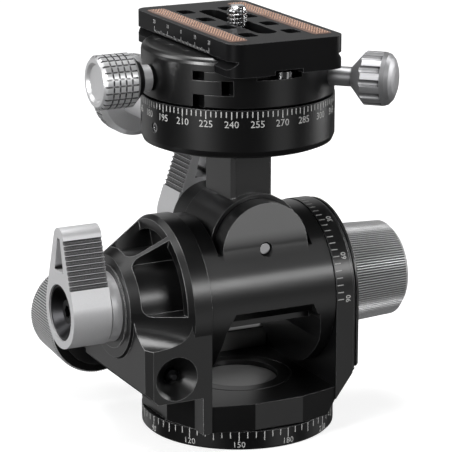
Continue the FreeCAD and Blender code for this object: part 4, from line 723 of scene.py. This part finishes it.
def makeDrumShell(kit):
    bm = bmesh.new()
    bm.from_mesh(nodes["drum"].data)
    bmesh.ops.remove_doubles(bm, verts=bm.verts, dist=merge)
    mesh = bpy.data.meshes.new("drum_start")
    bm.to_mesh(mesh)
    bm.free()
    start = bpy.data.objects.new("drum_start", mesh)
    cutters = [makeCutter(kit, kit["reach"], kit["through"], kit["throughNormal"]),
               makeCutter(kit, kit["inner"], kit["lip"], kit["lipNormal"])]
    for made in [start] + cutters:
        bpy.context.scene.collection.objects.link(made)
    for cutter in cutters:
        change = start.modifiers.new("cutaway", "BOOLEAN")
        change.operation = "DIFFERENCE"
        change.solver = "EXACT"
        change.object = cutter
    bpy.context.view_layer.update()
    shaped = start.evaluated_get(bpy.context.evaluated_depsgraph_get()).to_mesh()
    bm = bmesh.new()
    bm.from_mesh(shaped)
    bmesh.ops.remove_doubles(bm, verts=bm.verts, dist=merge)
    for made in [start] + cutters:
        bpy.data.objects.remove(made)
    for face in bm.faces:
        face.material_index = 0
    piece = finishMesh(bm, "drum_shell", drumBlack, "drum", kit["smooth"])
    keepNormals(piece.data, nodes["drum"].data)
    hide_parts("drum")
    print("drum shell faces:", len(piece.data.polygons))


makeDrumShell(drumKit)


# floor, light and camera: gloss looks through the floor at the studio's pale panels
floorKit = {"tone": 0.45, "white": 0.75, "rough": 0.8, "size": 6.0}


def makeStage(kit):
    bm = bmesh.new()
    bmesh.ops.create_grid(bm, x_segments=1, y_segments=1, size=kit["size"])
    mesh = bpy.data.meshes.new("floor")
    bm.to_mesh(mesh)
    bm.free()
    floor = bpy.data.objects.new("floor", mesh)
    paint = Paint("pale floor")
    seen = paint.node("ShaderNodeLightPath", output="Is Camera Ray")
    mirrored = paint.node("ShaderNodeLightPath", output="Is Glossy Ray")
    paint.set(Base_Color=colour([kit["tone"]] * 3), Roughness=kit["rough"], Emission_Color=colour((1, 1, 1)),
              Emission_Strength=seen * kit["white"], Alpha=1.0 - mirrored)
    mesh.materials.append(paint.material)
    bpy.context.scene.collection.objects.link(floor)


def aimed(holder, place, target):
    holder.location = place
    holder.rotation_euler = (target - Vector(place)).to_track_quat("-Z", "Y").to_euler()
    bpy.context.scene.collection.objects.link(holder)


# each lamp: its place and size in metres, and its power in watts
lampAim = Vector((0, 0, 0.07))
lampKit = {"leftSoft": ((-1.2, -0.38, 0.44), (0.35, 0.6), 10.0),
           "rightSoft": ((1.2, -0.05, 0.4), (0.3, 1.0), 8.5),
           "overhead": ((-0.15, 0.1, 1.3), (0.8, 0.6), 12.0),
           "frontHigh": ((-0.5, -1.3, 1.0), (0.5, 0.2), 1.5),
           "backLeft": ((-0.95, 0.6, 0.75), (0.5, 0.5), 3.5),
           "frontStrip": ((0.43, -0.95, 0.47), (0.6, 0.16), 2.4)}


def makeLights():
    for name, (place, size, power) in lampKit.items():
        lamp = bpy.data.lights.new(name, "AREA")
        lamp.shape = "RECTANGLE"
        lamp.size, lamp.size_y = size
        lamp.energy = power
        aimed(bpy.data.objects.new(name, lamp), place, lampAim)


# each panel of the studio: its direction, half its width in degrees, and its strength
worldKit = {"base": 0.015, "panels": (((-0.3, 0.93, -0.2), 30, 0.42), ((-0.87, -0.4, -0.29), 22, 0.22),
                                      ((0.98, -0.1, -0.15), 28, 0.3), ((0.43, -0.85, -0.29), 20, 0.45),
                                      ((0.5, 0.83, 0.2), 30, 0.5), ((-0.31, 0.4, 0.83), 30, 1.0))}


# the same brush for the studio's own nodes
class Sky(Paint):
    def __init__(self, world):
        world.use_nodes = True
        self.tree = world.node_tree
        self.shader = self.tree.nodes["Background"]


def makeWorld(kit):
    world = bpy.data.worlds.new("studio")
    bpy.context.scene.world = world
    sky = Sky(world)
    look = sky.node("ShaderNodeTexCoord", output="Generated")
    camera, glossy, through = [sky.node("ShaderNodeLightPath", output=ray)
                               for ray in ("Is Camera Ray", "Is Glossy Ray", "Is Transmission Ray")]
    glow = kit["base"]
    for direction, spread, strength in kit["panels"]:
        lean = sky.dot(look, Vector(direction).normalized())
        glow = sky.span(lean, math.cos(math.radians(spread)), top=strength, smooth=True) + glow
    glow = glow + glossy * kit["base"]
    sky.set(Strength=camera.maths("MAXIMUM", through).maths("MAXIMUM", glow), Color=(1, 1, 1, 1))


# place and target in millimetres
cameraKit = {"sensor": 36, "lens": 186.9, "place": (-317.3, -634.3, 257.7), "target": (-3.25, 1.60, 63.3)}


def makeCamera(kit):
    camera = bpy.data.cameras.new("camera")
    camera.sensor_width = kit["sensor"]
    camera.lens = kit["lens"]
    holder = bpy.data.objects.new("camera", camera)
    aimed(holder, Vector(kit["place"]) * mm, Vector(kit["target"]) * mm)
    bpy.context.scene.camera = holder


makeStage(floorKit)
makeLights()
makeWorld(worldKit)
makeCamera(cameraKit)
bpy.context.scene.view_settings.view_transform = "Standard"
print("stage set")
